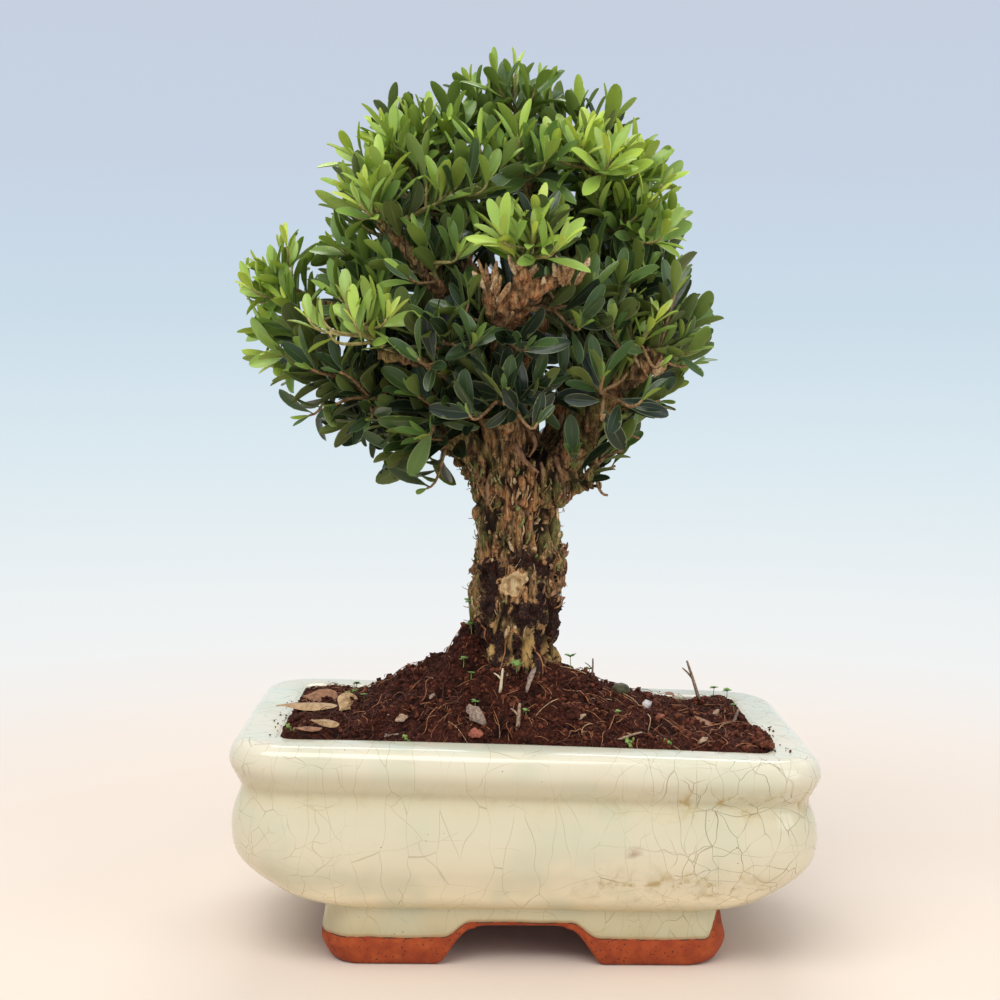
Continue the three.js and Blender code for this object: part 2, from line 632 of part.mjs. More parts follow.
// The first base from which the twig passes the others and meets its own limb alone
function growTwig(sprayTip, seed, taken, woodRoom, isFree) {
  for (const base of twigBases(sprayTip.tip, sprayTip.heading, taken)) {
    const twig = twigShoot(sprayTip, base, seed);
    const whole = toSolid(stemOf(twig));
    const cut = whole.subtract(woodRoom);
    const startsWell = cut.decompose().length === 1 && cut.volume() > LEAST_STEM_KEPT * whole.volume();
    if (startsWell && isFree(stemOf(twig, CLEARANCE), () => false)) {
      taken.push(base);
      return twig;
    }
  }
  return null;
}

function growSideShoot({ sprayTip, seed, shoots: [twig] }, side, woodRoom, isFree) {
  return SIDE_BENDS.map((bend) => sideShoot(sprayTip, twig, seed, side, bend)).find((shoot) => {
    const room = stemOf(shoot, CLEARANCE);
    return toSolid(room).intersect(woodRoom).isEmpty() && isFree(room, (other) => other.spray === seed);
  });
}

function growLeaf(spray, shootIndex, pair, member, woodRoom, isFree) {
  const shoot = spray.shoots[shootIndex];
  const partner = `${shootIndex} ${pair}`;
  const mayTouch = (other) => other.spray === spray.seed && (!other.partner || other.partner === partner);
  const seed = spray.seed * 3 + shootIndex;
  return LEAF_BENDS.map((bend) => leafPlace(shoot, seed, pair, member, bend)).find((place) => {
    const room = leafBlade(place, CLEARANCE / 2);
    return toSolid(room).intersect(woodRoom).isEmpty() && isFree(room, mayTouch);
  });
}

function buildSprays(woodRoom) {
  const { isFree, place } = makeRoomTest();
  const sprays = [];
  const taken = [];

  // Twigs go first, so that the side shoots and then the leaves bend round them
  sprayTips().forEach((sprayTip, index) => {
    const seed = index + 1;
    const twig = growTwig(sprayTip, seed, taken, woodRoom, isFree);
    if (!twig) return;
    const stem = place(stemOf(twig), { spray: seed });
    sprays.push({ sprayTip, seed, shoots: [twig], stems: [stem], leaves: [] });
  });
  for (const spray of sprays) {
    for (const side of SIDE_STARTS.keys()) {
      const shoot = growSideShoot(spray, side, woodRoom, isFree);
      if (!shoot) continue;
      spray.shoots.push(shoot);
      spray.stems.push(place(stemOf(shoot), { spray: spray.seed }));
    }
  }

  // Leaves are dealt out in rounds, from the tips inwards
  for (const [shootIndex, pair] of LEAF_ROUNDS) {
    for (const spray of sprays) {
      const shoot = spray.shoots[shootIndex];
      if (!shoot || TIP_BARE + PAIR_SPACING * pair > LEAFY_SHARE * shoot.curve.getLength()) continue;
      for (const member of [0, 1]) {
        const leaf = growLeaf(spray, shootIndex, pair, member, woodRoom, isFree);
        if (!leaf) continue;
        spray.leaves.push(place(leafBlade(leaf), { spray: spray.seed, partner: `${shootIndex} ${pair}` }));
      }
    }
  }

  sprays.forEach((spray) => {
    const stems = spray.stems.reduce((sum, part) => sum.add(part)).subtract(woodRoom);
    const whole = spray.leaves.reduce((sum, part) => sum.add(part), stems);
    const [biggest] = whole.decompose().sort((a, b) => b.volume() - a.volume());
    const name = `spray_${String(spray.seed).padStart(2, '0')}`;
    addPiece(name, biggest, spray.sprayTip.young ? COLOURS.youngLeaf : COLOURS.leaf);
  });
}

buildPot();
DRAIN_PLACES.forEach((x) => buildDrainMesh(x < 0 ? 'drain_mesh_left' : 'drain_mesh_right', x));
buildSoil(trunkSolid(CLEARANCE));
addPiece('trunk', woodSolid(0), COLOURS.bark);
buildSprays(woodSolid(CLEARANCE));

// The part's origin is under the middle of its whole outline
const outline = new THREE.Box3().setFromObject(plant);
const outlineCentre = outline.getCenter(new THREE.Vector3());
plant.position.set(-outlineCentre.x, -outlineCentre.y, 0);

export default plant;
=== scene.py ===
"""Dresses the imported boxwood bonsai: glazed pot, bark, peat and every leaf, with camera and light.

Points are worked out in millimetres in the pot's own frame, whose origin lies on the floor under the
middle of the pot, and add_piece() turns them into the frame's metres.
"""

import math

import bmesh
import bpy
import numpy as np
from mathutils import Matrix, Quaternion, Vector
from mathutils.bvhtree import BVHTree


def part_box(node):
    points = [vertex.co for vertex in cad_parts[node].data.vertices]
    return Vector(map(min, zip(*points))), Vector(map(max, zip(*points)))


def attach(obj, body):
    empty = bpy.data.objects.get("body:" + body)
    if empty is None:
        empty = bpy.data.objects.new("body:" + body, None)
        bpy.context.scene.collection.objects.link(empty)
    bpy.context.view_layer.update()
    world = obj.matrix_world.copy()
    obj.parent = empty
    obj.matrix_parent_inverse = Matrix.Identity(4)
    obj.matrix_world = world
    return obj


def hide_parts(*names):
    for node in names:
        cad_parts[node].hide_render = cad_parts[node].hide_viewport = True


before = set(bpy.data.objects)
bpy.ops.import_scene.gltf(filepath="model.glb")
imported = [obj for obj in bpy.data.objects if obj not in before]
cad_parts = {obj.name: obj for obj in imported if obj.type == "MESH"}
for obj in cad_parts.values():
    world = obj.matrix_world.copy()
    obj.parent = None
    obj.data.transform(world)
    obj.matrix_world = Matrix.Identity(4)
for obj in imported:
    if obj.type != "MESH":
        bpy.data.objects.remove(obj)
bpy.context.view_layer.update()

MM = 0.001
pot_low, pot_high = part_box("pot")
POT_ORIGIN = np.array([(pot_low.x + pot_high.x) / 2, (pot_low.y + pot_high.y) / 2, 0]) / MM
UP = np.array([0, 0, 1.0])

# Driving dimensions of the pot
RIM_HEIGHT = 70
RIM_FALL = 0.0235  # the rim sinks towards +X by this much for each mm
POT_BELLY = [
    # height, half width, half depth, corner radius
    [15, 57, 40, 9],
    [18, 62, 44, 12],
    [20.5, 73.8, 47.5, 16],
    [24.5, 80.9, 50.5, 18],
    [30, 87.9, 53.4, 20],
    [35, 91.2, 54.8, 20],
    [41.5, 92.1, 55.3, 20],
    [48, 91.2, 54.7, 18],
    [54.3, 88.9, 53.3, 16],
    [57.5, 90.1, 54.4, 17],
    [62.5, 92.3, 56, 18],
    [67, 91.4, 55.3, 17],
    [69.3, 89, 53.3, 15.5],
    [70, 86, 50.5, 13],
    [70, 79.2, 43.7, 7.5],
    [69.5, 77.2, 41.7, 5.6],
    [68.2, 76.5, 41, 5],
    [58, 76.5, 41, 5],
    [44, 80, 45.5, 12],
    [28, 74, 43, 12],
    [19, 58, 36, 8],
]
POT_FOOT = [
    [0, 59.9, 42.2, 9.5],
    [0.8, 61.1, 43.2, 10],
    [6.5, 64.2, 44.6, 11],
    [11, 63.4, 44.2, 11],
    [19.4, 62, 43.4, 11],
]
FOOT_POCKET = {"half_width": 49, "half_depth": 31, "radius": 6}
BASE_UNDERSIDE = 12.6
FOOT_VOXEL = 1.1
ARCH_CURVE = [
    # distance from the arch's middle at its foot end, as a share of half_foot, and height
    [1.04, -1],
    [1.0, 0.3],
    [0.95, 2],
    [0.84, 6.4],
    [0.71, 10.4],
    [0.6, 11.8],
    [0.46, 12.5],
    [0.3, BASE_UNDERSIDE],
]
FRONT_ARCH = {"half_foot": 25, "centre": -1.2}
END_ARCH = {"half_foot": 17.5, "centre": 0}
DRAIN_PLACES = [-34, 34]
DRAIN_RADIUS = 7
RUST_SPOT = [32.3, 39.8]  # x and height, on the front
GLAZE_LINE = 9.4  # height at which the glaze ends on the feet
LINE_OVER_ARCHES = 4.7  # how much higher it ends over the arches
LINE_AT_CORNER = 9  # and at the front right corner
GLAZE_THICKNESS = 0.35
UNROLL = {"half_width": 90, "half_depth": 54, "radius": 17}  # the outline that the glaze's net is laid on

# Driving dimensions of the soil
SOIL_HALF_WIDTH = 76.2
SOIL_HALF_DEPTH = 40.7
SOIL_EDGE = 66.5  # height at the pot's rim
SOIL_RISE = 29
SOIL_ROUND = 52  # radius of the ring that the mound turns into
SOIL_END_RISE = 3.2  # how much higher the peat lies along the pot's two ends
SOIL_HEAPS = [
    # centre x and y, reach along x and y, height
    [-36, 6, 18, 17, 6.2],
    [-19, 1, 6, 8, 11],
]
SOIL_WALLS = [
    # height, half width, half depth, from the top down
    [58, SOIL_HALF_WIDTH, SOIL_HALF_DEPTH],
    [44, 79.7, 45.2],
    [28, 73.7, 42.7],
    [19.3, 57.7, 35.7],
]
SOIL_CORNER = 4.7
SOIL_GRID = 0.62  # mesh size of the soil's surface

# Driving dimensions of the trunk and its limbs
TRUNK = [
    # height, centre x, centre y, radius
    [52, -3, 0, 11],
    [66, -3, 0, 15.5],
    [88, -3, 0, 12.8],
    [95, -3, 0, 12.2],
    [103, -3.6, 0, 13.4],
    [111, -3, 0, 14.2],
    [121, -1.6, 0, 14],
    [137, -2.8, 0, 13.4],
    [145, -1.4, 0, 15.4],
    [151, -0.8, 0, 17.2],
    [157, -0.8, 0, 15.5],
    [161, -1.2, 0, 9.5],
]
FLUTES = [
    # ridges round the trunk, height of a ridge as a part of the radius, twist per mm
    [6, 0.075, 0.012],
    [11, 0.03, -0.02],
]
LIMBS = {
    "low_left": ([[-10, -4, 146], [-17, -9, 159], [-30, -14, 170], [-45, -16, 179]], [6.5, 2.4]),
    "front_left": ([[-7, -6, 148], [-13, -16, 171], [-28, -29, 186], [-47, -35, 190]], [4.4, 1.7]),
    "upper_left": ([[-5, -5, 150], [-13, -13, 184], [-30, -26, 212], [-47, -29, 231]], [4.8, 1.7]),
    "centre_front": ([[-2, -7, 148], [-8, -22, 178], [-8, -34, 200], [-2, -38, 212]], [5.4, 2.8]),
    "right": ([[9, -4, 147], [16, -9, 161], [26, -19, 178], [40, -27, 192]], [6.8, 3.6]),
    "right_twig": ([[7, -8, 142], [17, -12, 149], [24, -13, 154]], [3, 1.5]),
    "leader": ([[-3, 1, 148], [-3, 2, 184], [1, 1, 222], [-2, 1, 254]], [7, 1.9]),
    "top_right": ([[-2, 2, 186], [6, 4, 206], [19, 6, 230], [28, 2, 248]], [4.2, 1.6]),
    "top_left": ([[-3, 2, 178], [-11, 3, 202], [-27, 3, 232], [-37, 0, 249]], [4.2, 1.6]),
    "left_lobe": ([[-9, 2, 147], [-22, 3, 176], [-50, 2, 199], [-73, 0, 208]], [5.4, 1.7]),
    "right_upper": ([[8, 2, 148], [18, 4, 172], [34, 2, 198], [44, 0, 210]], [5.2, 1.7]),
    "back_left": ([[-6, 6, 148], [-14, 18, 178], [-27, 31, 204]], [5, 1.8]),
    "back_right": ([[5, 7, 148], [14, 19, 178], [25, 32, 206]], [5, 1.8]),
    "back_top": ([[-2, 4, 182], [2, 16, 212], [0, 27, 236]], [4, 1.6]),
    "back_low": ([[0, 9, 146], [3, 23, 162], [1, 37, 173]], [4.6, 1.7]),
    "low_left_back": ([[-9, 4, 145], [-26, 12, 160], [-42, 20, 171]], [4.4, 1.6]),
    "low_right_back": ([[9, 5, 146], [23, 14, 160], [36, 20, 172]], [4.2, 1.6]),
}
SNAGS = [
    # dead stubs and knots: route and radii
    ([[8, -8, 143], [14, -11, 146.5], [19, -12, 147], [23.5, -13, 149]], [1.7, 0.7]),
    ([[-12, -6, 141], [-16.5, -8, 142.5]], [2.6, 2]),
    ([[-9, -31, 198], [-12, -38, 206], [-13, -41, 213]], [4.4, 2.2]),
    ([[-9, -34, 201], [0, -42, 209], [9, -44, 214]], [4.6, 2.4]),
    ([[-5, -37, 205], [-3, -43, 213], [-4, -44, 218]], [3.8, 1.8]),
    ([[30, -21, 183], [35, -26, 185.5], [38, -28, 186.5]], [3.4, 2.6]),
    ([[-8, -12, 131], [-9, -15, 130.5]], [2.6, 1.5]),
]
WOOD_VOXEL = 0.69
OUTSIDE_TRUNK = 60
TYPICAL_RADIUS = 13

# Bark and what clings to it
# Patches on the front of the bark: centre x, height, half width, half height
SCAR = [-3.9, 116, 3.9, 5.1]
WARM_PATCH = [-3.5, 143, 6.5, 12]
SOILED_PATCHES = [
    [-10.5, 117.5, 4, 6],
    [-12, 109, 2.5, 4],
    [1, 106.5, 5.5, 4.2],
    [-1, 123.6, 4, 1.8],
    [6.5, 121, 2.6, 3],
    [5, 112, 2.2, 4],
    [10, 104, 3, 7],
    [-14, 98, 3, 6],
    [-8.5, 97, 1.5, 4],
    [-2.5, 95, 1.3, 5],
    [4, 94, 1.6, 6],
]
FLAKES = 900
FLAKE_KINDS = [0.55, 0.85]  # below the first a draw makes a flake, below the second a crumb
TORN_STRIPS = [
    # the places that a strip runs through and its thickness
    ([[-6, -14.5, 163], [-3.6, -18, 161], [-1, -19, 156.7], [3.7, -18.6, 153]], 1.15),
    ([[-1, -13, 168], [1.5, -16, 165], [2.2, -17.5, 161.5], [0.5, -18.5, 158]], 0.85),
    ([[4.5, -17, 156], [5.2, -18.8, 153.5], [4.8, -18.5, 150.5]], 0.7),
    ([[9, -13, 158], [10.5, -15.5, 154], [13, -15.5, 150.5]], 0.8),
    ([[-12, -12, 152], [-12.8, -13.5, 147], [-12.4, -13.5, 142]], 0.7),
]
KNOT_SPLINTERS = 46
DEBRIS = 44  # peeling bits on the right of the scar
KNOT_ENDS = [[-13, -41, 212], [-11, -41, 208], [-4, -44, 215], [3, -43, 211], [9, -44, 213], [12, -44, 214],
             [38, -28, 186]]
BASE_ROOTS = [
    # height and direction round the trunk along each root
    [[101, -1.72], [97, -1.95], [91, -2.02], [86, -2.0]],
    [[96, -1.25], [93, -1.1], [88, -1.02], [84, -1.05]],
    [[104, -2.55], [98, -2.45], [91, -2.55], [86, -2.6]],
    [[100, -0.6], [95, -0.75], [89, -0.7], [85, -0.62]],
    [[99, 1.2], [94, 1.35], [88, 1.3]],
    [[98, 2.6], [93, 2.45], [87, 2.5]],
]
KNOT = {"place": [0, -41, 209], "reach": [16, 12, 14]}
HOLLOW = {"place": [2.5, -13, 161], "reach": [6.5, 8, 7], "depth": 6}

# Loose things on the soil
CRUMBS = 6400
FIBRES = 1300
STRAWS = 60
SPILLED = {
    # up to which speck they lie there
    "right_corner": 170,
    "right_ledge": 195,
    "left_ledge": 225,
    "long_sides": 260,
}
DEAD_LEAVES = [
    # place, direction along the leaf in degrees, length, width, how far it is tilted, which material
    [-71, -13, 4, 20, 6.2, 0.35, 0],
    [-68.5, 5, -8, 12, 6.8, 0.6, 1],
    [-58.6, -5, 60, 9, 7.6, 0.9, 0],
    [-63, -34, 8, 9, 3.8, 0.5, 0],
    [-68, -38.2, 4, 9, 3, 0.4, 1],
    [52, 24, 70, 8, 3.6, 0.3, 1],
    [-30, 30, 140, 9, 4, 0.3, 0],
    [10, 32, 20, 8, 4, 0.3, 1],
    [60, -6, -35, 7, 3, 0.4, 1],
]
CHIP_ROWS = 7  # rows of points along a chip, a flake or a tiny leaf
CHIPS = [
    # place, direction on the ground, lean up from it, both in degrees, length, width, which material
    [-39.5, -26, 20, 15, 4.5, 2.4, 0],
    [-15.5, -31, 150, 42, 8.5, 4.6, 1],
    [-15.6, -36.5, -20, 10, 5, 3.4, 2],
    [2, -20, 60, 50, 9.5, 1.9, 1],
    [44, -20, -40, 25, 4, 2.0, 2],
    [56, -33, 25, 20, 4, 1.7, 0],
    [66, 6, 60, 30, 5, 2.0, 0],
    [18, -27, 10, 30, 3.4, 1.5, 0],
    [-30, -18, 60, 25, 3, 1.3, 1],
    [24, 20, -60, 20, 6, 2.4, 0],
]
STICKS = [
    # place, how far it goes along x, y and up, thickness, which material
    [-2.6, -33, 0.6, 0, 8, 0.75, 0],
    [-8, -18.6, 0.8, -0.5, 7.5, 0.6, 2],
    [64, 32, -5, -1, 14, 0.7, 0],
    [23, 4, 0.6, 0, 8, 0.42, 1],
    [70, -4, 2, 0, 5, 0.6, 1],
    [28, -33, 9, 2, 1.6, 0.5, 0],
    [-48, -32, 8, -2, 1.4, 0.45, 1],
    [14, -30, -6, 5, 2.4, 0.45, 2],
]
SURFACE_ROOTS = [
    # the places that a root runs through and how high it arches
    ([[12, -35], [17, -33], [21, -36]], 3),
    ([[23, -37], [28, -27], [36, -19]], 1.4),
    ([[60, -19], [69, 4], [72, 38]], 1.6),
    ([[47, -28], [58, -31], [70.5, -28.6]], 1),
    ([[12, -15], [18, -17], [24, -23]], 2.2),
    ([[-20, -20], [-28, -24], [-33, -33]], 1.4),
    ([[-45, -10], [-52, -19], [-50, -30]], 1),
    ([[26, -8], [38, -12], [47, -8]], 1.6),
    ([[-24, 14], [-38, 20], [-50, 16]], 1.2),
    ([[14, 16], [30, 24], [46, 22]], 1.4),
]
SEEDLINGS = [
    # place, height and size of its leaves
    [-2.6, -14.8, 4, 2.6],
    [-16, -23.6, 2.2, 1.4],
    [0, -28.6, 2, 1.3],
    [74, 19, 2.2, 1.3],
    [70, 40, 3, 1.7],
    [74.6, 38, 3.4, 1.8],
    [-58, 30.6, 2.4, 1.5],
    [-53, -2, 2, 1.3],
    [23, 13, 2, 1.3],
    [-20, -9, 3, 1.6],
    [-17.5, -14, 2.4, 1.4],
    [30, -24, 2, 1.2],
    [-18, -1.5, 9, 2.2],
    [-17.4, -3, 3.6, 2.2],
    [16, 2, 5, 2],
]
PALE_STONE = [40.5, -9]
DARK_HUSK = [32.4, -5]
MOSS_LEAVES = 11  # in each tuft
MOSS_BITS = [[33, -33, 3], [45, -34, 2.4], [-74, -36, 2.8], [-37, -36, 2.6], [58, 36, 2.4],
             [-24, 34, 2.6], [-59, 18, 3.6]]

# Driving dimensions of the crown
CROWN_CENTRE = [-6, 0, 205]
VIEWER = [-16.4, -532, 188.5]  # the camera's place
LOBES = [
    # centre x, y, z and half sizes along x, y, z
    [-7, 0, 218, 58, 56, 58],
    [-33, -2, 243, 33, 36, 33],
    [20, 0, 240, 33, 38, 35],
    [-64, -4, 199, 32, 26, 26],
    [38, -2, 194, 28, 34, 28],
    [-36, 0, 172, 31, 36, 26],
    [22, 0, 173, 28, 38, 22],
]
FEATURE_SHOOTS = [
    # where the stem ends, which way it points and its growth: 0 old, 1 a few new leaves, 2 a young tuft
    ([-5, 0, 281], [0.1, 0, 1], 0),
    ([16, 5, 271], [0.15, 0.1, 1], 0),
    ([-26, 0, 268], [-0.25, -0.1, 1], 0),
    ([-46, -10, 261], [-0.5, -0.2, 1], 2),
    ([-56, -31, 240], [-0.8, -0.35, 0.6], 2),
    ([-88, 0, 219], [-0.7, 0, 0.7], 2),
    ([-85, -4, 197], [-1, -0.1, 0.15], 0),
    ([-56, -41, 205], [-0.1, -0.3, 1], 2),
    ([-75, -15, 184], [-0.9, -0.2, -0.1], 0),
    ([-61, -20, 174], [-0.7, -0.3, -0.5], 0),
    ([1, -48, 230], [0.2, -0.4, 1], 2),
    ([18, -20, 259], [0.1, -0.2, 1], 2),
    ([34, -5, 255], [0.4, -0.1, 1], 2),
    ([36, -17, 238], [0.4, -0.4, 0.8], 2),
    ([52, -16, 201], [0.8, -0.1, 0.4], 0),
    ([43, -10, 176], [0.9, -0.1, -0.1], 0),
    ([31, -14, 160], [0.9, -0.2, 0.1], 0),
    ([22, -41, 184], [0.2, -0.5, 0.8], 0),
    ([38, -36, 201], [0.4, -0.5, 0.6], 1),
    ([-42, -10, 158], [-0.8, -0.3, -0.2], 0),
    ([-8, -47, 178], [0, -0.5, 0.8], 0),
    ([-28, -46, 200], [-0.2, -0.6, 0.6], 0),
]
RULE_SHOOTS = 70
TIP_SPACING = 21
LOWEST_SHOOT_SLOPE = -0.62
LEAVES_PAST_TIP = 10
TWIG_LENGTH = 24
TWIG_RADII = [1.05, 0.5]
SIDE_RADII = [0.65, 0.4]
TWIG_SPACING = 5
SIDE_SPREAD = 12.5
SIDE_STARTS = [0.42, 0.62, 0.3, 0.5]
SIDES_BY_GROWTH = [4, 4, 7]
SIZE_BY_GROWTH = [1, 0.66, 0.86]
SIDE_TURNS = [0, 1, 0.5, 1.5]  # in steps of about a third of a turn round the twig

# Driving dimensions of a leaf
LEAF_LENGTH = 15.2
LEAF_HALF_WIDTH = 2.25
LEAF_THICKNESS = 0.32
LEAF_ARCH = 0.13
WIDEST = 0.62  # where a leaf is widest, as a share of its length
STALK_WIDTH = 0.14  # width of the stalk, as a part of the greatest
LEAF_ROWS = [0, 0.1, 0.27, 0.45, 0.62, 0.77, 0.89, 0.965]
TOP_COLUMNS = [-1, -0.5, 0, 0.5, 1]
UNDER_COLUMNS = [-1, 0, 1]
LEAF_CUP = 0.3
PAIR_SPACING = 3.4
TIP_BARE = 1.2
LEAFY_SHARE = 0.86
INNER_SHOOTS = 6  # on each limb
INNER_TURN = 6.3  # how far round its stem the first pair of one may stand
LEAF_LIFT = 0.42  # how strongly leaves turn up to the light
STEM_RADIUS = 0.35  # from the middle of a stem to a leaf's root
PAST_OUTLINE = 4  # how far a leaf may pass the crown's outline
PAST_AT_FEATURE = 9  # how far one may on a shoot that stands out of it
PAST_FOR_TIPS = 8  # how much further the small leaves at a shoot's end may
CLEARINGS = [
    # centre x, y, z and radius: wood that no leaf hides from the front
    [-7, -42, 209, 8.5],
    [3, -42, 211, 6],
    [4, -18, 158, 8],
    [-6, -16, 156, 7],
    [20, -14, 169, 4.5],
    [26, -18, 177, 4.5],
    [32, -22, 184, 4.5],
    [37, -25, 189, 4],
    [-46, -29, 230, 3.6],
    [-38, -27.5, 221, 3.6],
    [-30, -26, 212, 3.6],
    [-34, -31, 187.5, 3.2],
    [-42, -33.5, 189, 3.2],
]
SHORTEST_LEAF = 0.62  # a leaf that would be cut to less of its length is left out
SKIRT_HEIGHT = 148  # no leaf hangs lower
SKIRT_RIGHT = 19  # how far right one reaches at that height
SKIRT_LEFT = 54
INNER_LOWEST = 153  # no inner shoot ends lower
INNER_CENTRE = [CROWN_CENTRE[0], CROWN_CENTRE[1], 190]  # inner shoots grow away from it
LEFT_REACH = 94  # no leaf reaches further left

# Camera
CAMERA_YAW = -0.015
CAMERA_PITCH = 0.0864
CAMERA_ROLL = 0.011
FOCAL_PIXELS = 1609
FRAME_PIXELS = 1000
SENSOR_WIDTH = 36

# Stage and light
FLOOR_RINGS = [0.5, 80, 160, 240, 320, 420, 540, 700, 900]
COVE_RADIUS = 500
WALL_RINGS = [700, 1000, 1500, 2000, 2600]
GLOW_REACH = [180, 560]  # from which radius to which the floor turns into glowing paper
LIGHT_TARGET = [0, 0, 130]
LIGHTS = {
    # place, size, power in watts, colour
    "key": ([-350, -650, 1150], (1100, 700), 14, (1, 0.98, 0.95)),
    "fill": ([900, -700, 500], (700, 900), 4.5, (1, 1, 1)),
    "back": ([100, 800, 1100], (900, 500), 7, (0.96, 0.98, 1)),
}

# Colours
# A leaf's, from the oldest to the newest
LEAF_TOP_COLOURS = [(0.018, 0.033, 0.017), (0.082, 0.146, 0.042), (0.275, 0.435, 0.085),
                    (0.430, 0.595, 0.115), (0.600, 0.710, 0.180)]
LEAF_UNDER_COLOURS = [(0.115, 0.145, 0.045), (0.215, 0.290, 0.065), (0.355, 0.490, 0.085),
                      (0.495, 0.610, 0.110), (0.640, 0.725, 0.140)]
FIBRE_LOOKS = {
    # dark colour, light colour, roughness, size of the grain, its stretch and the shine
    "green_stem": [(0.17, 0.13, 0.035), (0.46, 0.38, 0.14), 0.6],
    "brown_stem": [(0.10, 0.045, 0.018), (0.45, 0.27, 0.12), 0.8],
    "dead_leaf": [(0.20, 0.11, 0.045), (0.50, 0.33, 0.16), 0.6, 1.6],
    "brown_dead_leaf": [(0.11, 0.045, 0.020), (0.36, 0.17, 0.08), 0.6, 1.4],
    "dark_husk": [(0.022, 0.018, 0.007), (0.095, 0.080, 0.026), 0.5, 1.6],
    "dry_wood": [(0.16, 0.085, 0.045), (0.50, 0.36, 0.24), 0.8, 0.9],
    "red_wood": [(0.15, 0.035, 0.020), (0.40, 0.13, 0.075), 0.75, 0.9],
    "grey_chip": [(0.11, 0.065, 0.045), (0.40, 0.29, 0.22), 0.8, 0.8],
    "root_skin": [(0.20, 0.070, 0.026), (0.46, 0.20, 0.085), 0.6],
    "pale_root": [(0.45, 0.33, 0.18), (0.78, 0.66, 0.47), 0.6],
    "peat_fibre": [(0.025, 0.008, 0.004), (0.15, 0.050, 0.025), 0.85, 0.8],
    "straw": [(0.30, 0.17, 0.08), (0.66, 0.47, 0.26), 0.65],
    "soil_crumb": [(0.009, 0.003, 0.002), (0.085, 0.022, 0.011), 0.88, 0.6, (1, 1, 1), 0.12],
    "red_crumb": [(0.034, 0.009, 0.004), (0.24, 0.072, 0.036), 0.88, 0.6, (1, 1, 1), 0.12],
    "seedling_green": [(0.12, 0.23, 0.055), (0.27, 0.43, 0.12), 0.6, 2],
    "moss_green": [(0.09, 0.16, 0.03), (0.31, 0.42, 0.10), 0.7, 0.9],
    "pale_stone": [(0.38, 0.33, 0.30), (0.66, 0.62, 0.58), 0.7, 1],
    "drain_plastic": [(0.012, 0.013, 0.015), (0.03, 0.032, 0.036), 0.45, 3],
    "bark_flake": [(0.13, 0.055, 0.022), (0.60, 0.34, 0.15), 0.85, 0.8],
    "pale_flake": [(0.32, 0.18, 0.08), (0.78, 0.58, 0.34), 0.85, 0.8],
    "green_flake": [(0.05, 0.055, 0.014), (0.34, 0.33, 0.10), 0.85, 0.8],
    "peeled_bark": [(0.11, 0.045, 0.022), (0.46, 0.25, 0.13), 0.75, 1.1, (1, 1, 0.3)],
}


# Small helpers
def draw(seed, item):
    """A repeatable number from 0 to 1."""
    value = math.sin(seed * 12.9898 + item * 78.233) * 43758.5453
    return value - math.floor(value)


def unit(vector):
    vector = np.asarray(vector, float)
    return vector / np.linalg.norm(vector)


def square_to(heading, vector):
    """The direction of that part of a vector that stands square to a heading."""
    return unit(vector - heading * (vector @ heading))


def level_way(angle):
    return np.array([math.cos(angle), math.sin(angle), 0])


def any_turn(seed, item):
    """A repeatable angle, anywhere round the circle."""
    return 2 * math.pi * draw(seed, item)


def scattered(seed, first):
    """Three repeatable numbers from -0.5 to 0.5."""
    return np.array([draw(seed, first + axis) for axis in range(3)]) - 0.5


def smooth(low, high, value):
    """0 below low, 1 above high and an even change between."""
    share = np.clip((np.asarray(value, float) - low) / (high - low), 0, 1)
    return share * share * (3 - 2 * share)


def lattice(cell, seed):
    """A repeatable number from 0 to 1 for each cell of a grid."""
    value = np.sin(cell @ np.array([12.9898, 78.233, 37.719]) + seed * 4.17) * 43758.5453
    return value - np.floor(value)


def rough(points, size, seed):
    """Smooth noise from -1 to 1 whose lumps are about size mm apart."""
    place = points / np.asarray(size, float)
    cell = np.floor(place)
    part = place - cell
    part = part * part * (3 - 2 * part)
    total = np.zeros(len(points))
    for corner in np.ndindex(2, 2, 2):
        weight = np.prod(np.where(corner, part, 1 - part), axis=1)
        total += weight * lattice(cell + corner, seed)
    return 2 * total - 1


def layered(points, size, layers, seed):
    """Noise in layers, each half as large and half as high as the one before."""
    total = np.zeros(len(points))
    for layer in range(layers):
        total += rough(points, np.asarray(size, float) / 2 ** layer, seed + layer) / 2 ** layer
    return total


def cell_distances(points, size, seed):
    """Distances to the nearest and the second nearest of scattered points, in units of size."""
    place = points / np.asarray(size, float)
    home = np.floor(place)
    nearest = np.full(len(points), 9.0)
    second = np.full(len(points), 9.0)
    for offset in np.ndindex(3, 3, 3):
        cell = home + np.array(offset) - 1
        seeds = np.stack([lattice(cell, seed + axis) for axis in range(3)], axis=1)
        gap = np.linalg.norm(cell + seeds - place, axis=1)
        second = np.minimum(second, np.maximum(nearest, gap))
        nearest = np.minimum(nearest, gap)
    return nearest, second


def spline(points, steps):
    """A smooth row of points through the given ones, with so many steps between neighbours."""
    points = np.asarray(points, float)
    padded = np.vstack([2 * points[0] - points[1], points, 2 * points[-1] - points[-2]])
    row = []
    for i in range(len(points) - 1):
        before, start, end, after = padded[i:i + 4]
        for t in np.arange(steps) / steps:
            leave = (end - before) / 2
            arrive = (after - start) / 2
            bend = 2 * start - 2 * end + leave + arrive
            turn = -3 * start + 3 * end - 2 * leave - arrive
            row.append(start + leave * t + turn * t * t + bend * t ** 3)
    row.append(points[-1])
    return np.array(row)


def bezier(start, out, back, end, steps):
    t = np.linspace(0, 1, steps + 1)[:, None]
    return start * (1 - t) ** 3 + 3 * out * t * (1 - t) ** 2 + 3 * back * t * t * (1 - t) + end * t ** 3


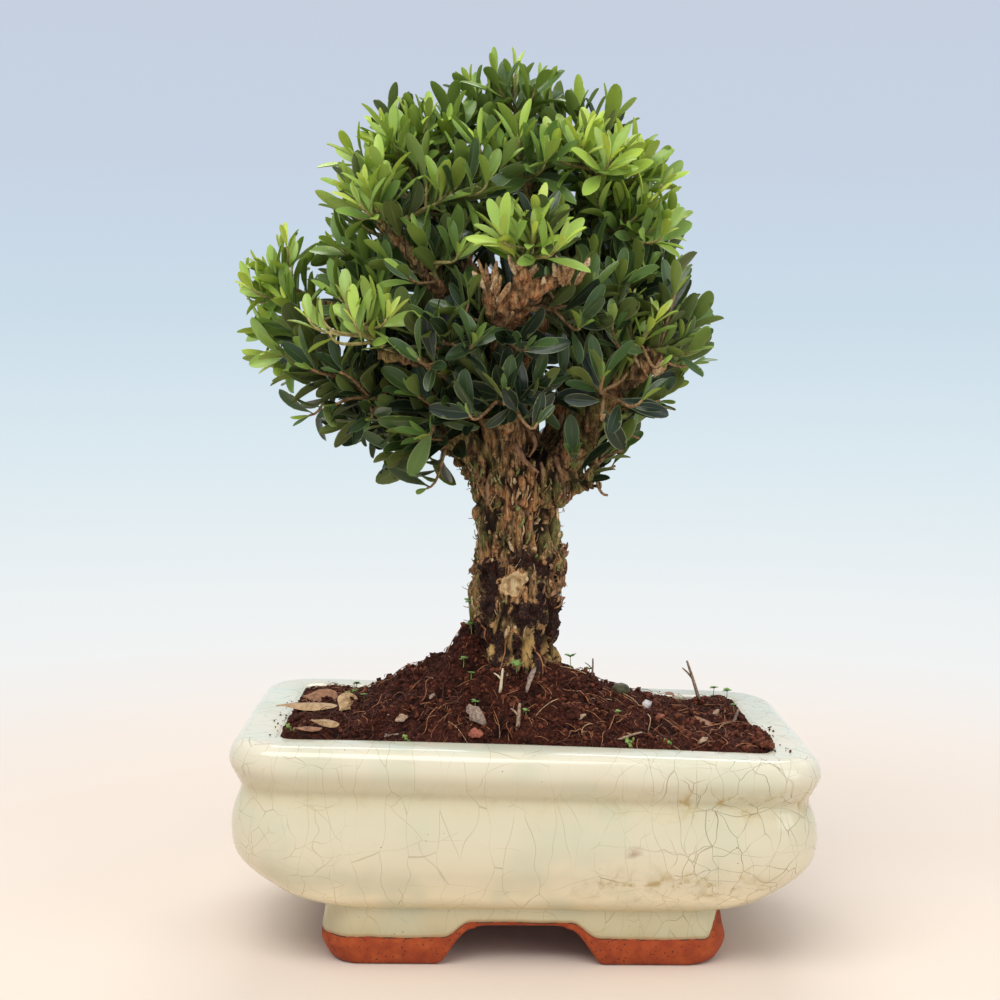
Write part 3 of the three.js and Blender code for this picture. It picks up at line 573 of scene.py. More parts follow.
def fallen(x, height):
    """A height on the pot where its rim sinks towards the right."""
    return height - RIM_FALL * x * (height / RIM_HEIGHT)


# Meshes
class Shape:
    """Points and faces gathered for one piece, with a material number and named values for each."""

    def __init__(self):
        self.points = []
        self.faces = []
        self.looks = []
        self.values = {}
        self.corner_values = {}
        self.count = 0

    def add(self, points, faces, look=0, **values):
        self.points.append(np.asarray(points, float))
        self.faces.extend([[corner + self.count for corner in face] for face in faces])
        self.looks.extend([look] * len(faces))
        for name, value in values.items():
            spread = np.broadcast_to(np.asarray(value, float), (len(points),))
            self.values.setdefault(name, []).append(spread)
        self.count += len(points)


def one_body(points, faces, **values):
    shape = Shape()
    shape.add(points, faces, **values)
    return shape


def in_scene(name, data):
    thing = bpy.data.objects.new(name, data)
    bpy.context.scene.collection.objects.link(thing)
    return thing


def add_object(name, shape, looks):
    """An object in the frame's metres, with its materials and the values that colour it."""
    mesh = bpy.data.meshes.new(name)
    points = (np.vstack(shape.points) + POT_ORIGIN) * MM
    mesh.from_pydata(points.tolist(), [], shape.faces)
    for look in looks:
        mesh.materials.append(materials[look])
    mesh.polygons.foreach_set("material_index", shape.looks)
    mesh.polygons.foreach_set("use_smooth", [True] * len(mesh.polygons))
    for value_name, spreads in shape.values.items():
        attribute = mesh.attributes.new(value_name, "FLOAT", "POINT")
        attribute.data.foreach_set("value", np.concatenate(spreads))
    for value_name, spread in shape.corner_values.items():
        mesh.attributes.new(value_name, "FLOAT", "CORNER").data.foreach_set("value", spread)
    mesh.update()
    return in_scene(name, mesh)


def add_piece(name, shape, looks):
    """An object that belongs to the plant and rides on its only body."""
    piece = add_object(name, shape, looks)
    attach(piece, "root")
    return piece


def loft_faces(rings, sides, first_end=True, last_end=True):
    """Faces of a closed body whose rings follow each other in the list of points."""
    faces = []
    for i in range(rings - 1):
        for j in range(sides):
            here = i * sides + j
            beside = i * sides + (j + 1) % sides
            faces.append([here, beside, beside + sides, here + sides])
    if first_end:
        faces.append(list(range(sides))[::-1])
    if last_end:
        faces.append(list(range((rings - 1) * sides, rings * sides)))
    return faces


def tube_points(route, radii, sides):
    """Rings of a tube along a route, without twist."""
    route = np.asarray(route, float)
    tangents = np.gradient(route, axis=0)
    tangents /= np.linalg.norm(tangents, axis=1)[:, None]
    across = np.cross(tangents[0], [0.31, 0.95, 0.05])
    rings = []
    angles = np.arange(sides) / sides * 2 * math.pi
    for centre, tangent, radius in zip(route, tangents, radii):
        across = square_to(tangent, across)
        beside = np.cross(tangent, across)
        ring = np.cos(angles)[:, None] * across + np.sin(angles)[:, None] * beside
        rings.append(centre + ring * radius)
    return np.vstack(rings)


def add_tube(shape, route, radii, sides, look=0, **values):
    radii = np.interp(np.linspace(0, 1, len(route)), np.linspace(0, 1, len(radii)), radii)
    shape.add(tube_points(route, radii, sides), loft_faces(len(route), sides), look, **values)


def scratch_object(name, points, faces):
    """An object in millimetres that modifiers work on before its points become a piece."""
    mesh = bpy.data.meshes.new(name)
    mesh.from_pydata(np.asarray(points, float).tolist(), [], faces)
    return in_scene(name, mesh)


def with_modifiers_applied(thing):
    """The points, faces and normals of an object after its modifiers."""
    evaluated = thing.evaluated_get(bpy.context.evaluated_depsgraph_get())
    mesh = bpy.data.meshes.new_from_object(evaluated)
    faces = [list(polygon.vertices) for polygon in mesh.polygons]
    points = np.empty(len(mesh.vertices) * 3)
    mesh.vertices.foreach_get("co", points)
    normals = np.empty(len(mesh.vertices) * 3)
    mesh.vertex_normals.foreach_get("vector", normals)
    bpy.data.meshes.remove(mesh)
    return points.reshape(-1, 3), faces, normals.reshape(-1, 3)


def turn_matrix(first, second, third):
    """A turn made from three numbers from 0 to 1, each turn as likely as any other."""
    far, near = math.sqrt(1 - first), math.sqrt(first)
    one, other = 2 * math.pi * second, 2 * math.pi * third
    quaternion = Quaternion((near * math.cos(other), far * math.sin(one),
                             far * math.cos(one), near * math.sin(other)))
    return np.array(quaternion.to_matrix())


def crumb_shape():
    """The corners and faces of a ball made of twenty triangles."""
    work = bmesh.new()
    bmesh.ops.create_icosphere(work, subdivisions=1, radius=1)
    points = np.array([vert.co[:] for vert in work.verts])
    faces = [[vert.index for vert in face.verts] for face in work.faces]
    work.free()
    return points, faces


def add_crumb(shape, place, size, seed, look=0, flat=(1, 1, 1)):
    """A ragged lump: a ball whose corners are pulled in and out."""
    reach = [0.45 + 0.95 * draw(seed, 10 + corner) for corner in range(len(CRUMB_POINTS))]
    turn = turn_matrix(draw(seed, 1), draw(seed, 2), draw(seed, 3))
    points = CRUMB_POINTS * np.array(reach)[:, None] * flat @ turn.T * size
    shape.add(points + place, CRUMB_FACES, look)


def chip_faces():
    """Faces of a slab of three columns, whose lower points come first in the list and then the upper ones."""
    count = CHIP_ROWS * 3
    faces = []
    for row in range(CHIP_ROWS - 1):
        for column in range(2):
            here = row * 3 + column
            faces.append([here, here + 1, here + 4, here + 3])
            faces.append([here + 3 + count, here + 4 + count, here + 1 + count, here + count])
        for edge in (0, 2):
            here = row * 3 + edge
            rim = [here, here + 3, here + 3 + count, here + count]
            faces.append(rim if edge == 0 else rim[::-1])
    for start in (0, count - 3):
        for column in range(2):
            rim = [start + column, start + column + count, start + column + 1 + count, start + column + 1]
            faces.append(rim if start == 0 else rim[::-1])
    return faces


def add_chip(shape, place, heading, facing, length, width, seed, thickness, bend, look=0):
    """A thin ragged slab with a bent back, such as a wood chip or a flake of bark."""
    side = np.cross(facing, heading)
    points = []
    for layer in (0, 1):
        for row, along in enumerate(np.linspace(0, 1, CHIP_ROWS)):
            taper = math.sin(math.pi * (0.06 + 0.88 * along)) ** 0.8
            for edge in (-1, 0, 1):
                ragged = 1 + 0.7 * (draw(seed, 20 + row * 3 + edge) - 0.5)
                height = bend * length * math.sin(math.pi * along) + layer * thickness * (1 - 0.6 * abs(edge))
                height += 0.14 * width * edge * edge
                points.append(np.asarray(place) + heading * (along - 0.5) * length
                              + side * edge * taper * ragged * width / 2 + facing * height)
    shape.add(points, CHIP_FACES, look)


def voxel_skin(thing, voxel, rounds):
    """The points, faces and normals of one even, softened skin over a body."""
    remesh = thing.modifiers.new("even", "REMESH")
    remesh.mode = "VOXEL"
    remesh.voxel_size = voxel
    rounding = thing.modifiers.new("round", "SMOOTH")
    rounding.iterations = rounds
    return with_modifiers_applied(thing)


def remove_object(thing):
    """Removes an object that only served as a tool."""
    mesh = thing.data
    bpy.data.objects.remove(thing)
    bpy.data.meshes.remove(mesh)


def cut(thing, cutters):
    for cutter in cutters:
        modifier = thing.modifiers.new("cut", "BOOLEAN")
        modifier.operation = "DIFFERENCE"
        modifier.solver = "EXACT"
        modifier.object = cutter


CRUMB_POINTS, CRUMB_FACES = crumb_shape()
CHIP_FACES = chip_faces()


# Materials
class Look:
    """Builds a procedural material from short calls; sizes are in millimetres."""

    def __init__(self, name):
        self.material = bpy.data.materials.new(name)
        self.material.use_nodes = True
        self.tree = self.material.node_tree
        self.tree.nodes.clear()
        self.output = self.tree.nodes.new("ShaderNodeOutputMaterial")
        self.shader = self.tree.nodes.new("ShaderNodeBsdfPrincipled")
        self.tree.links.new(self.shader.outputs[0], self.output.inputs["Surface"])
        coordinates = self.tree.nodes.new("ShaderNodeTexCoord")
        self.place = self.scaled(coordinates.outputs["Object"], (1 / MM,) * 3)

    def put(self, socket, source):
        if isinstance(source, bpy.types.NodeSocket):
            self.tree.links.new(source, socket)
        else:
            socket.default_value = (*source, 1) if len(np.shape(source)) and len(source) == 3 else source

    def scaled(self, vector, factors):
        node = self.tree.nodes.new("ShaderNodeVectorMath")
        node.operation = "MULTIPLY"
        self.tree.links.new(vector, node.inputs[0])
        node.inputs[1].default_value = factors
        return node.outputs[0]

    def value(self, name):
        node = self.tree.nodes.new("ShaderNodeAttribute")
        node.attribute_name = name
        return node.outputs["Fac"]

    def noise(self, size, detail=3, roughness=0.5, stretch=(1, 1, 1), warp=0):
        node = self.tree.nodes.new("ShaderNodeTexNoise")
        self.tree.links.new(self.scaled(self.place, stretch), node.inputs["Vector"])
        node.inputs["Scale"].default_value = 1 / size
        node.inputs["Detail"].default_value = detail
        node.inputs["Roughness"].default_value = roughness
        node.inputs["Distortion"].default_value = warp
        return node.outputs["Fac"]

    def cells(self, size):
        """Distance to the nearest of scattered points, in units of size."""
        node = self.tree.nodes.new("ShaderNodeTexVoronoi")
        self.tree.links.new(self.place, node.inputs["Vector"])
        node.inputs["Scale"].default_value = 1 / size
        return node.outputs["Distance"]

    def net(self, size, feature, warp_size, reach, stretch=(1, 1)):
        """Cells on the pot's unrolled surface, whose lines waver by up to reach mm."""
        flat = self.tree.nodes.new("ShaderNodeCombineXYZ")
        self.put(flat.inputs[0], self.value("around"))
        self.put(flat.inputs[1], self.value("down"))
        waver = self.tree.nodes.new("ShaderNodeTexNoise")
        waver.noise_dimensions = "2D"
        self.tree.links.new(flat.outputs[0], waver.inputs["Vector"])
        waver.inputs["Scale"].default_value = 1 / warp_size
        waver.inputs["Detail"].default_value = 1
        moved = self.tree.nodes.new("ShaderNodeVectorMath")
        moved.operation = "MULTIPLY_ADD"
        self.tree.links.new(waver.outputs["Color"], moved.inputs[0])
        moved.inputs[1].default_value = (2 * reach,) * 3
        self.tree.links.new(flat.outputs[0], moved.inputs[2])
        node = self.tree.nodes.new("ShaderNodeTexVoronoi")
        node.voronoi_dimensions = "2D"
        node.feature = feature
        self.tree.links.new(self.scaled(moved.outputs[0], (*stretch, 1)), node.inputs["Vector"])
        node.inputs["Scale"].default_value = 1 / size
        return node.outputs["Distance"]

    def math(self, operation, first, second=0.0):
        node = self.tree.nodes.new("ShaderNodeMath")
        node.operation = operation
        self.put(node.inputs[0], first)
        self.put(node.inputs[1], second)
        return node.outputs[0]

    def times(self, first, second):
        return self.math("MULTIPLY", first, second)

    def plus(self, first, second):
        return self.math("ADD", first, second)

    def most(self, first, second):
        return self.math("MAXIMUM", first, second)

    def step(self, value, low, high, start=0.0, end=1.0):
        """From start to end while value goes from low to high, smoothly."""
        node = self.tree.nodes.new("ShaderNodeMapRange")
        node.interpolation_type = "SMOOTHSTEP"
        self.put(node.inputs["Value"], value)
        node.inputs["From Min"].default_value = low
        node.inputs["From Max"].default_value = high
        node.inputs["To Min"].default_value = start
        node.inputs["To Max"].default_value = end
        return node.outputs["Result"]

    def mix(self, factor, first, second, blend="MIX"):
        node = self.tree.nodes.new("ShaderNodeMix")
        node.data_type = "RGBA"
        node.blend_type = blend
        self.put(node.inputs[0], factor)
        self.put(node.inputs[6], first)
        self.put(node.inputs[7], second)
        return node.outputs[2]

    def ramp(self, value, stops):
        node = self.tree.nodes.new("ShaderNodeValToRGB")
        self.put(node.inputs[0], value)
        elements = node.color_ramp.elements
        while len(elements) < len(stops):
            elements.new(0.5)
        for element, (position, colour) in zip(elements, stops):
            element.position = position
            element.color = (*colour, 1)
        return node.outputs[0]

    def bump(self, height, depth):
        node = self.tree.nodes.new("ShaderNodeBump")
        node.inputs["Distance"].default_value = depth * MM
        self.put(node.inputs["Height"], height)
        return node.outputs[0]

    def finish(self, colour, roughness, normal=None, **constants):
        self.put(self.shader.inputs["Base Color"], colour)
        self.put(self.shader.inputs["Roughness"], roughness)
        if normal is not None:
            self.put(self.shader.inputs["Normal"], normal)
        for name, value in constants.items():
            self.shader.inputs[name.replace("_", " ")].default_value = value
        return self.material

    def blend(self, share, other):
        """Mixes another shader into the material's own by a share of it."""
        node = self.tree.nodes.new("ShaderNodeMixShader")
        self.put(node.inputs[0], share)
        self.tree.links.new(self.shader.outputs[0], node.inputs[1])
        self.tree.links.new(other.outputs[0], node.inputs[2])
        self.tree.links.new(node.outputs[0], self.output.inputs["Surface"])
        return self.material


def crackle(look):
    """Upright and level cracks and a net of arcs, which is also what the stains follow."""
    def lines(net, widest, strength):
        return look.times(look.step(net, 0.002, widest, 1, 0), strength)

    upright = look.net(8, "DISTANCE_TO_EDGE", 16, 3, (1, 0.24))
    level = look.net(11, "DISTANCE_TO_EDGE", 14, 3, (0.42, 1))
    arcs = look.net(7.5, "DISTANCE_TO_EDGE", 9, 3.2)
    strength = look.step(look.noise(15, 2), 0.36, 0.62)
    part = look.step(look.noise(9, 1), 0.42, 0.54)
    upright = lines(upright, 0.013, look.plus(look.times(strength, 0.5), 0.08))
    level = lines(level, 0.011, look.plus(look.times(part, 0.35), look.times(look.value("right_side"), 0.2)))
    crazing = look.times(look.value("crazed"), look.plus(look.times(part, 0.65), 0.25))
    return look.most(look.most(upright, level), lines(arcs, 0.017, crazing)), arcs


def bare_clay(look, edge):
    """Red clay with dark pits, and a dark line where the glaze ends."""
    clay = look.ramp(look.noise(5, 5, 0.6), [
        (0.3, (0.22, 0.026, 0.003)),
        (0.55, (0.33, 0.050, 0.006)),
        (0.8, (0.44, 0.095, 0.016)),
    ])
    pits = look.step(look.cells(1.3), 0.14, 0.26, 1, 0)
    pits = look.times(pits, look.step(look.noise(4, 2), 0.4, 0.52))
    line = look.times(look.step(edge, -0.1, 0.4), look.step(look.noise(2.5, 2), 0.42, 0.56))
    return look.mix(look.most(pits, line), clay, (0.045, 0.013, 0.006))


def glaze_material():
    """Celadon glaze with a brown crackle over bare red clay at the feet."""
    look = Look("glaze")
    tint = look.times(look.plus(look.value("level"), look.times(look.noise(14), 5.0)), 1 / 80)
    # The glaze's own bands of colour by height; the lighter stops low on the belly are partly painted light,
    # standing for light thrown up from the floor
    body = look.ramp(tint, [
        (0.16, (0.44, 0.365, 0.21)),
        (0.25, (0.60, 0.51, 0.31)),
        (0.33, (0.83, 0.73, 0.50)),
        (0.42, (0.69, 0.60, 0.42)),
        (0.58, (0.61, 0.55, 0.39)),
        (0.72, (0.555, 0.485, 0.315)),
        (0.79, (0.60, 0.53, 0.375)),
        (0.9, (0.66, 0.60, 0.455)),
        (0.925, (0.58, 0.63, 0.50)),
    ])
    body = look.mix(look.step(look.noise(22, 2), 0.45, 0.7, 0, 0.4), body, (0.47, 0.49, 0.34))
    cracks, arcs = crackle(look)
    crack_colour = look.mix(look.value("right_side"), (0.30, 0.22, 0.09), (0.13, 0.10, 0.05))
    body = look.mix(cracks, body, crack_colour)
    # Stains that spread from the cracks low on the belly and in the groove
    spread = look.step(arcs, 0.0, 0.3, 1, 0.3)
    patch = look.step(look.noise(7, 4, 0.7), 0.46, 0.62)
    stain = look.times(look.times(spread, patch), look.value("stained"))
    body = look.mix(look.times(stain, 0.85), body, (0.40, 0.27, 0.085))
    body = look.mix(look.value("rust_spot"), body, (0.30, 0.17, 0.12))
    specks = look.step(look.cells(2.3), 0.06, 0.1, 1, 0)
    specks = look.times(specks, look.step(look.noise(9, 2), 0.58, 0.66))
    body = look.mix(look.times(specks, 0.8), body, (0.045, 0.025, 0.012))
    # Bare clay below a wavering line
    edge = look.plus(look.value("above_line"), look.times(look.noise(7, 3), 1.1))
    glazed = look.step(edge, 0.42, 0.62)
    thin_glaze = look.mix(look.step(edge, 0.6, 1.8), (0.34, 0.22, 0.10), body)
    colour = look.mix(glazed, bare_clay(look, edge), thin_glaze)
    roughness = look.step(glazed, 0, 1, 0.85, 0.12)
    grain = look.times(look.noise(0.5, 2), look.math("SUBTRACT", 1, glazed))
    normal = look.bump(look.math("SUBTRACT", grain, look.times(cracks, 0.08)), 0.12)
    return look.finish(colour, roughness, normal, IOR=1.5)


def bark_material():
    """Corky bark: ochre ridges, cracks and a hollow darkened with painted shade, moss, patches of soil and a
    pale cut.
    """
    look = Look("bark")
    rise = look.value("rise")
    fibre = look.noise(1.0, 4, 0.7, (1, 1, 0.28), 0.5)
    strands = look.noise(0.8, 3, 0.6, (1, 1, 0.16))
    base = look.ramp(look.noise(4.6, 4, 0.66, (1, 1, 0.36)), [
        (0.33, (0.045, 0.020, 0.009)),
        (0.44, (0.16, 0.075, 0.029)),
        (0.52, (0.35, 0.155, 0.057)),
        (0.61, (0.50, 0.195, 0.070)),
        (0.72, (0.60, 0.40, 0.20)),
    ])
    base = look.mix(look.step(fibre, 0.44, 0.66, 0, 0.6), base, (0.56, 0.40, 0.19))
    base = look.mix(look.step(fibre, 0.36, 0.5, 0.9, 0), base, (0.038, 0.016, 0.007))
    yellow = look.times(look.value("yellow"), look.step(look.noise(3.2, 3), 0.4, 0.55))
    base = look.mix(look.times(yellow, 0.65), base, (0.62, 0.38, 0.12))
    warm = look.times(look.value("warm"), look.step(look.noise(2.6, 3, 0.6, (1, 1, 0.4)), 0.4, 0.56))
    base = look.mix(look.times(warm, 0.85), base, look.ramp(fibre, [
        (0.36, (0.22, 0.066, 0.020)), (0.5, (0.58, 0.23, 0.080)), (0.66, (0.80, 0.48, 0.23))]))
    moss = look.times(look.step(look.noise(5, 3, 0.65, (1, 1, 0.5)), 0.42, 0.54), look.value("moss"))
    base = look.mix(look.times(moss, 0.85), base, look.ramp(fibre, [
        (0.35, (0.042, 0.042, 0.010)), (0.55, (0.18, 0.172, 0.042)), (0.72, (0.40, 0.36, 0.12))]))
    # Painted shade: where the skin sinks, into its cracks and the hollow, the bark is darkened near to black
    base = look.mix(look.step(rise, -1.5, 0.35, 0.96, 0), base, (0.018, 0.007, 0.004))
    ragged = look.plus(look.value("soiled"), look.times(look.noise(2.8, 4, 0.72), 2.1))
    peaty = look.ramp(look.noise(0.8, 3, 0.7), [
        (0.4, (0.012, 0.005, 0.003)), (0.56, (0.045, 0.016, 0.009)), (0.7, (0.14, 0.055, 0.028))])
    base = look.mix(look.step(ragged, 1.5, 1.66), base, peaty)
    scar = look.value("scar")
    cut_edge = look.plus(scar, look.times(look.math("SUBTRACT", look.noise(1.8, 3), 0.5), 0.5))
    cut_wood = look.ramp(cut_edge, [(0.42, (0.56, 0.25, 0.085)), (0.55, (0.84, 0.58, 0.31)),
                                    (0.72, (0.58, 0.38, 0.165)), (0.9, (0.76, 0.54, 0.28))])
    cut_wood = look.mix(look.step(strands, 0.4, 0.56, 0.45, 0), cut_wood, (0.34, 0.18, 0.07))
    base = look.mix(look.step(cut_edge, 0.36, 0.42), base, cut_wood)
    normal = look.bump(look.plus(fibre, look.times(strands, 0.9)), 1.3)
    return look.finish(base, 0.88, normal, Specular_IOR_Level=0.3)


def soil_material():
    """Moist fibrous peat, near black in its hollows through painted shade, and red-brown on its crumbs."""
    look = Look("soil")
    mixed = look.ramp(look.noise(1.1, 5, 0.75), [
        (0.36, (0.006, 0.002, 0.001)),
        (0.47, (0.022, 0.005, 0.003)),
        (0.58, (0.070, 0.017, 0.009)),
        (0.72, (0.25, 0.086, 0.044)),
    ])
    dry = look.times(look.step(look.noise(9, 3), 0.42, 0.62), 0.4)
    mixed = look.mix(dry, mixed, (0.070, 0.018, 0.009))
    # Painted shade: where the surface sinks between the crumbs, the peat is darkened near to black
    colour = look.mix(look.step(look.value("rise"), -1.1, 0.2, 0.9, 0), mixed, (0.008, 0.003, 0.002))
    normal = look.bump(look.noise(0.6, 4, 0.7), 0.6)
    return look.finish(colour, 0.88, normal, Specular_IOR_Level=0.12)


def plain_fibre_material(name, dark, light, roughness, grain=1.2, stretch=(1, 1, 1), shine=0.3):
    """Dead matter: roots, chips, dry leaves and twigs."""
    look = Look(name)
    streak = look.noise(grain, 4, 0.6, stretch)
    colour = look.ramp(streak, [(0.32, dark), (0.72, light)])
    return look.finish(colour, roughness, look.bump(streak, 0.2), Specular_IOR_Level=shine)


def leaf_material(name, underside, colours):
    """A leathery leaf blade; colours go from the oldest leaf to the newest."""
    look = Look(name)
    age = look.value("age")
    along = look.value("along")
    across = look.math("ABSOLUTE", look.value("across"))
    blade = look.ramp(age, list(zip((0.0, 0.3, 0.6, 0.85, 1.0), colours)))
    blade = look.mix(look.step(along, 0.0, 0.25, 0.3, 0), blade, (0.30, 0.36, 0.09))
    paler = look.mix(0.4, blade, (0.36, 0.44, 0.18))
    rib = look.times(look.step(across, 0.02, 0.11, 1, 0), look.step(along, 0.6, 1.0, 0.8, 0.1))
    clearness = 0.8 if underside else look.step(age, 0, 0.7, 0.6, 0.15)
    blade = look.mix(look.times(rib, clearness), blade, paler)
    margin = look.mix(0.55, blade, (0.42, 0.48, 0.26))
    blade = look.mix(look.step(across, 0.85, 0.96, 0, 0.85), blade, margin)
    tone = look.ramp(look.value("tone"), [(0, (0.62, 0.66, 0.62)), (0.5, (1, 1, 0.9)), (1, (1.3, 1.2, 0.8))])
    blade = look.mix(0.8, blade, tone, "MULTIPLY")
    normal = look.bump(look.noise(1.6, 1), 0.08)
    roughness = look.plus(look.step(age, 0, 1, 0.31, 0.38), 0.16 if underside else 0.0)
    look.finish(blade, roughness, normal, IOR=1.46)
    through = look.tree.nodes.new("ShaderNodeBsdfTranslucent")
    look.put(through.inputs["Color"], look.mix(1.0, blade, (1.0, 1.0, 0.4), "MULTIPLY"))
    return look.blend(0.25, through)


def backdrop_material():
    """Paper that shines by itself away from the pot, in the shades of the photo's background."""
    look = Look("backdrop")
    paper = look.ramp(look.plus(look.value("climb"), 0.5), [
        (0.0, (0.90, 0.76, 0.66)),
        (0.16, (0.98, 0.89, 0.82)),
        (0.26, (0.96, 0.92, 0.89)),
        (0.35, (0.86, 0.89, 0.90)),
        (0.43, (0.73, 0.83, 0.88)),
        (0.53, (0.60, 0.72, 0.82)),
        (0.62, (0.57, 0.65, 0.77)),
        (0.8, (0.56, 0.61, 0.72)),
    ])
    look.finish((0.68, 0.575, 0.475), 0.8)
    glow = look.tree.nodes.new("ShaderNodeEmission")
    look.put(glow.inputs["Color"], paper)
    return look.blend(look.value("glow"), glow)


materials = {
    "glaze": glaze_material(),
    "bark": bark_material(),
    "soil": soil_material(),
    "leaf_top": leaf_material("leaf_top", False, LEAF_TOP_COLOURS),
    "leaf_under": leaf_material("leaf_under", True, LEAF_UNDER_COLOURS),
    "backdrop": backdrop_material(),
}
for fibre_name, fibre_values in FIBRE_LOOKS.items():
    materials[fibre_name] = plain_fibre_material(fibre_name, *fibre_values)
LEAF_MATERIALS = ["leaf_top", "leaf_under", "green_stem", "brown_stem"]


# The pot: belly and rim on a foot ring with arches
def rounded_ring(half_width, half_depth, radius, height, corner_steps, long_steps, short_steps):
    ring = []
    for corner in range(4):
        centre_x = (1 if corner < 2 else -1) * (half_width - radius)
        centre_y = (1 if corner in (1, 2) else -1) * (half_depth - radius)
        for step in range(corner_steps + 1):
            angle = (corner - 1 + step / corner_steps) * math.pi / 2
            ring.append([centre_x + radius * math.cos(angle), centre_y + radius * math.sin(angle)])
        runs_along_x = corner % 2 == 1
        x, y = ring[-1]
        next_x, next_y = (-x, y) if runs_along_x else (x, -y)
        steps = long_steps if runs_along_x else short_steps
        for step in range(1, steps):
            ring.append([x + (next_x - x) * step / steps, y + (next_y - y) * step / steps])
    return [[x, y, fallen(x, height)] for x, y in ring]


def profile_body(profile, steps, split):
    rings = [rounded_ring(width, depth, radius, height, *split)
             for height, width, depth, radius in spline(profile, steps)]
    return np.array(rings).reshape(-1, 3), loft_faces(len(rings), len(rings[0]))


def arch_cutter(arch, length, along_x):
    outline = spline([[share * arch["half_foot"], height] for share, height in ARCH_CURVE], 3)
    left = [[arch["centre"] - side, height] for side, height in outline]
    right = [[arch["centre"] + side, height] for side, height in outline[::-1]]
    points = []
    for end in (-length / 2, length / 2):
        for side, height in left + right:
            points.append([end, side, height] if along_x else [side, end, height])
    faces = loft_faces(2, len(points) // 2)
    if along_x:
        faces = [face[::-1] for face in faces]
    return scratch_object("arch", points, faces)


def drain_cutters():
    angles = np.arange(24) / 24 * 2 * math.pi
    cutters = []
    for x in DRAIN_PLACES:
        ring = np.stack([x + DRAIN_RADIUS * np.cos(angles), DRAIN_RADIUS * np.sin(angles)], axis=1)
        points = [[*place, height] for height in (5, 26) for place in ring]
        cutters.append(scratch_object("drain", points, loft_faces(2, 24)))
    return cutters


def line_height(points):
    """How high the glaze ends: low on the feet, sweeping up over the arches."""
    front = np.abs(points[:, 0] - FRONT_ARCH["centre"])
    ends = np.abs(points[:, 1] - END_ARCH["centre"])
    on_front = np.abs(points[:, 1]) > 41
    over_front = LINE_OVER_ARCHES * smooth(24.5, 15.5, front) * on_front
    over_ends = LINE_OVER_ARCHES * smooth(17.5, 10, ends) * ~on_front
    bare_corner = LINE_AT_CORNER * smooth(57, 62, points[:, 0]) * smooth(-20, -40, points[:, 1])
    return GLAZE_LINE + over_front + over_ends + bare_corner + 0.35 * rough(points, 16, 7)


def unrolled(points):
    """Distance round the pot from the middle of its front, without sign, and distance down its side."""
    inner_x, inner_y = UNROLL["half_width"] - UNROLL["radius"], UNROLL["half_depth"] - UNROLL["radius"]
    x, y = np.abs(points[:, 0]), points[:, 1]
    past_x, past_y = np.maximum(x - inner_x, 0), np.maximum(np.abs(y) - inner_y, 0)
    turn = np.arctan2(past_x, past_y)
    front = np.minimum(x, inner_x) + UNROLL["radius"] * turn
    side = inner_x + UNROLL["radius"] * math.pi / 2 + y + inner_y
    back = 2 * inner_x + 2 * inner_y + UNROLL["radius"] * math.pi - front
    around = np.where(y < -inner_y, front, np.where(y > inner_y, back, side))
    level = points[:, 2] / (1 - RIM_FALL * points[:, 0] / RIM_HEIGHT)
    outward = np.hypot(past_x, past_y) - UNROLL["radius"]
    down = RIM_HEIGHT - level + outward * (2 * smooth(58, 64, level) - 1)
    return around, down, level


def signed_around(points, faces):
    """The distance round the pot at each face's corners, below zero on the left half."""
    around = unrolled(points)[0]
    corners = np.array([corner for face in faces for corner in face])
    counts = np.array([len(face) for face in faces])
    starts = np.append(0, np.cumsum(counts)[:-1])
    middle = np.repeat(np.add.reduceat(points[corners, 0], starts) / counts, counts)
    at_front = around[corners] < UNROLL["half_width"] + UNROLL["half_depth"]
    side = np.where(at_front, np.sign(points[corners, 0]), np.sign(middle))
    return around[corners] * side


def pot_values(points):
    """The values that the glaze's material reads at each point."""
    _, down, level = unrolled(points)
    x, y, z = points.T
    inside_pocket = (np.abs(x) < 56) & (np.abs(y) < 38) & (level < 16)
    above = np.where(inside_pocket | (level < 0.4), -3, level - line_height(points))
    low_right = np.exp(-((level - 29) / 5) ** 2) * smooth(5, 35, x) * smooth(80, 65, x)
    in_groove = np.exp(-((level - 56) / 4) ** 2) * (0.25 + 0.75 * smooth(25, 45, x))
    right_side = smooth(12, 68, x)
    spot_gap = np.hypot(x - RUST_SPOT[0], z - RUST_SPOT[1]) + 0.5 * rough(points, 1.3, 9)
    return {
        "level": level,
        "down": down,
        "above_line": above,
        "stained": np.clip(in_groove + low_right, 0, 1),
        "right_side": right_side,
        "crazed": right_side + 0.8 * smooth(-45, -75, x),
        "rust_spot": np.where(y < 0, 0.75 * smooth(2.2, 0.3, spot_gap), 0),
    }


def thrown_by_hand(points, normals):
    """Leaves the even form a little, as a hand-made pot does."""
    waver = 0.35 * rough(points, 38, 3) + 0.08 * rough(points, 11, 4)
    return points + normals * waver[:, None]


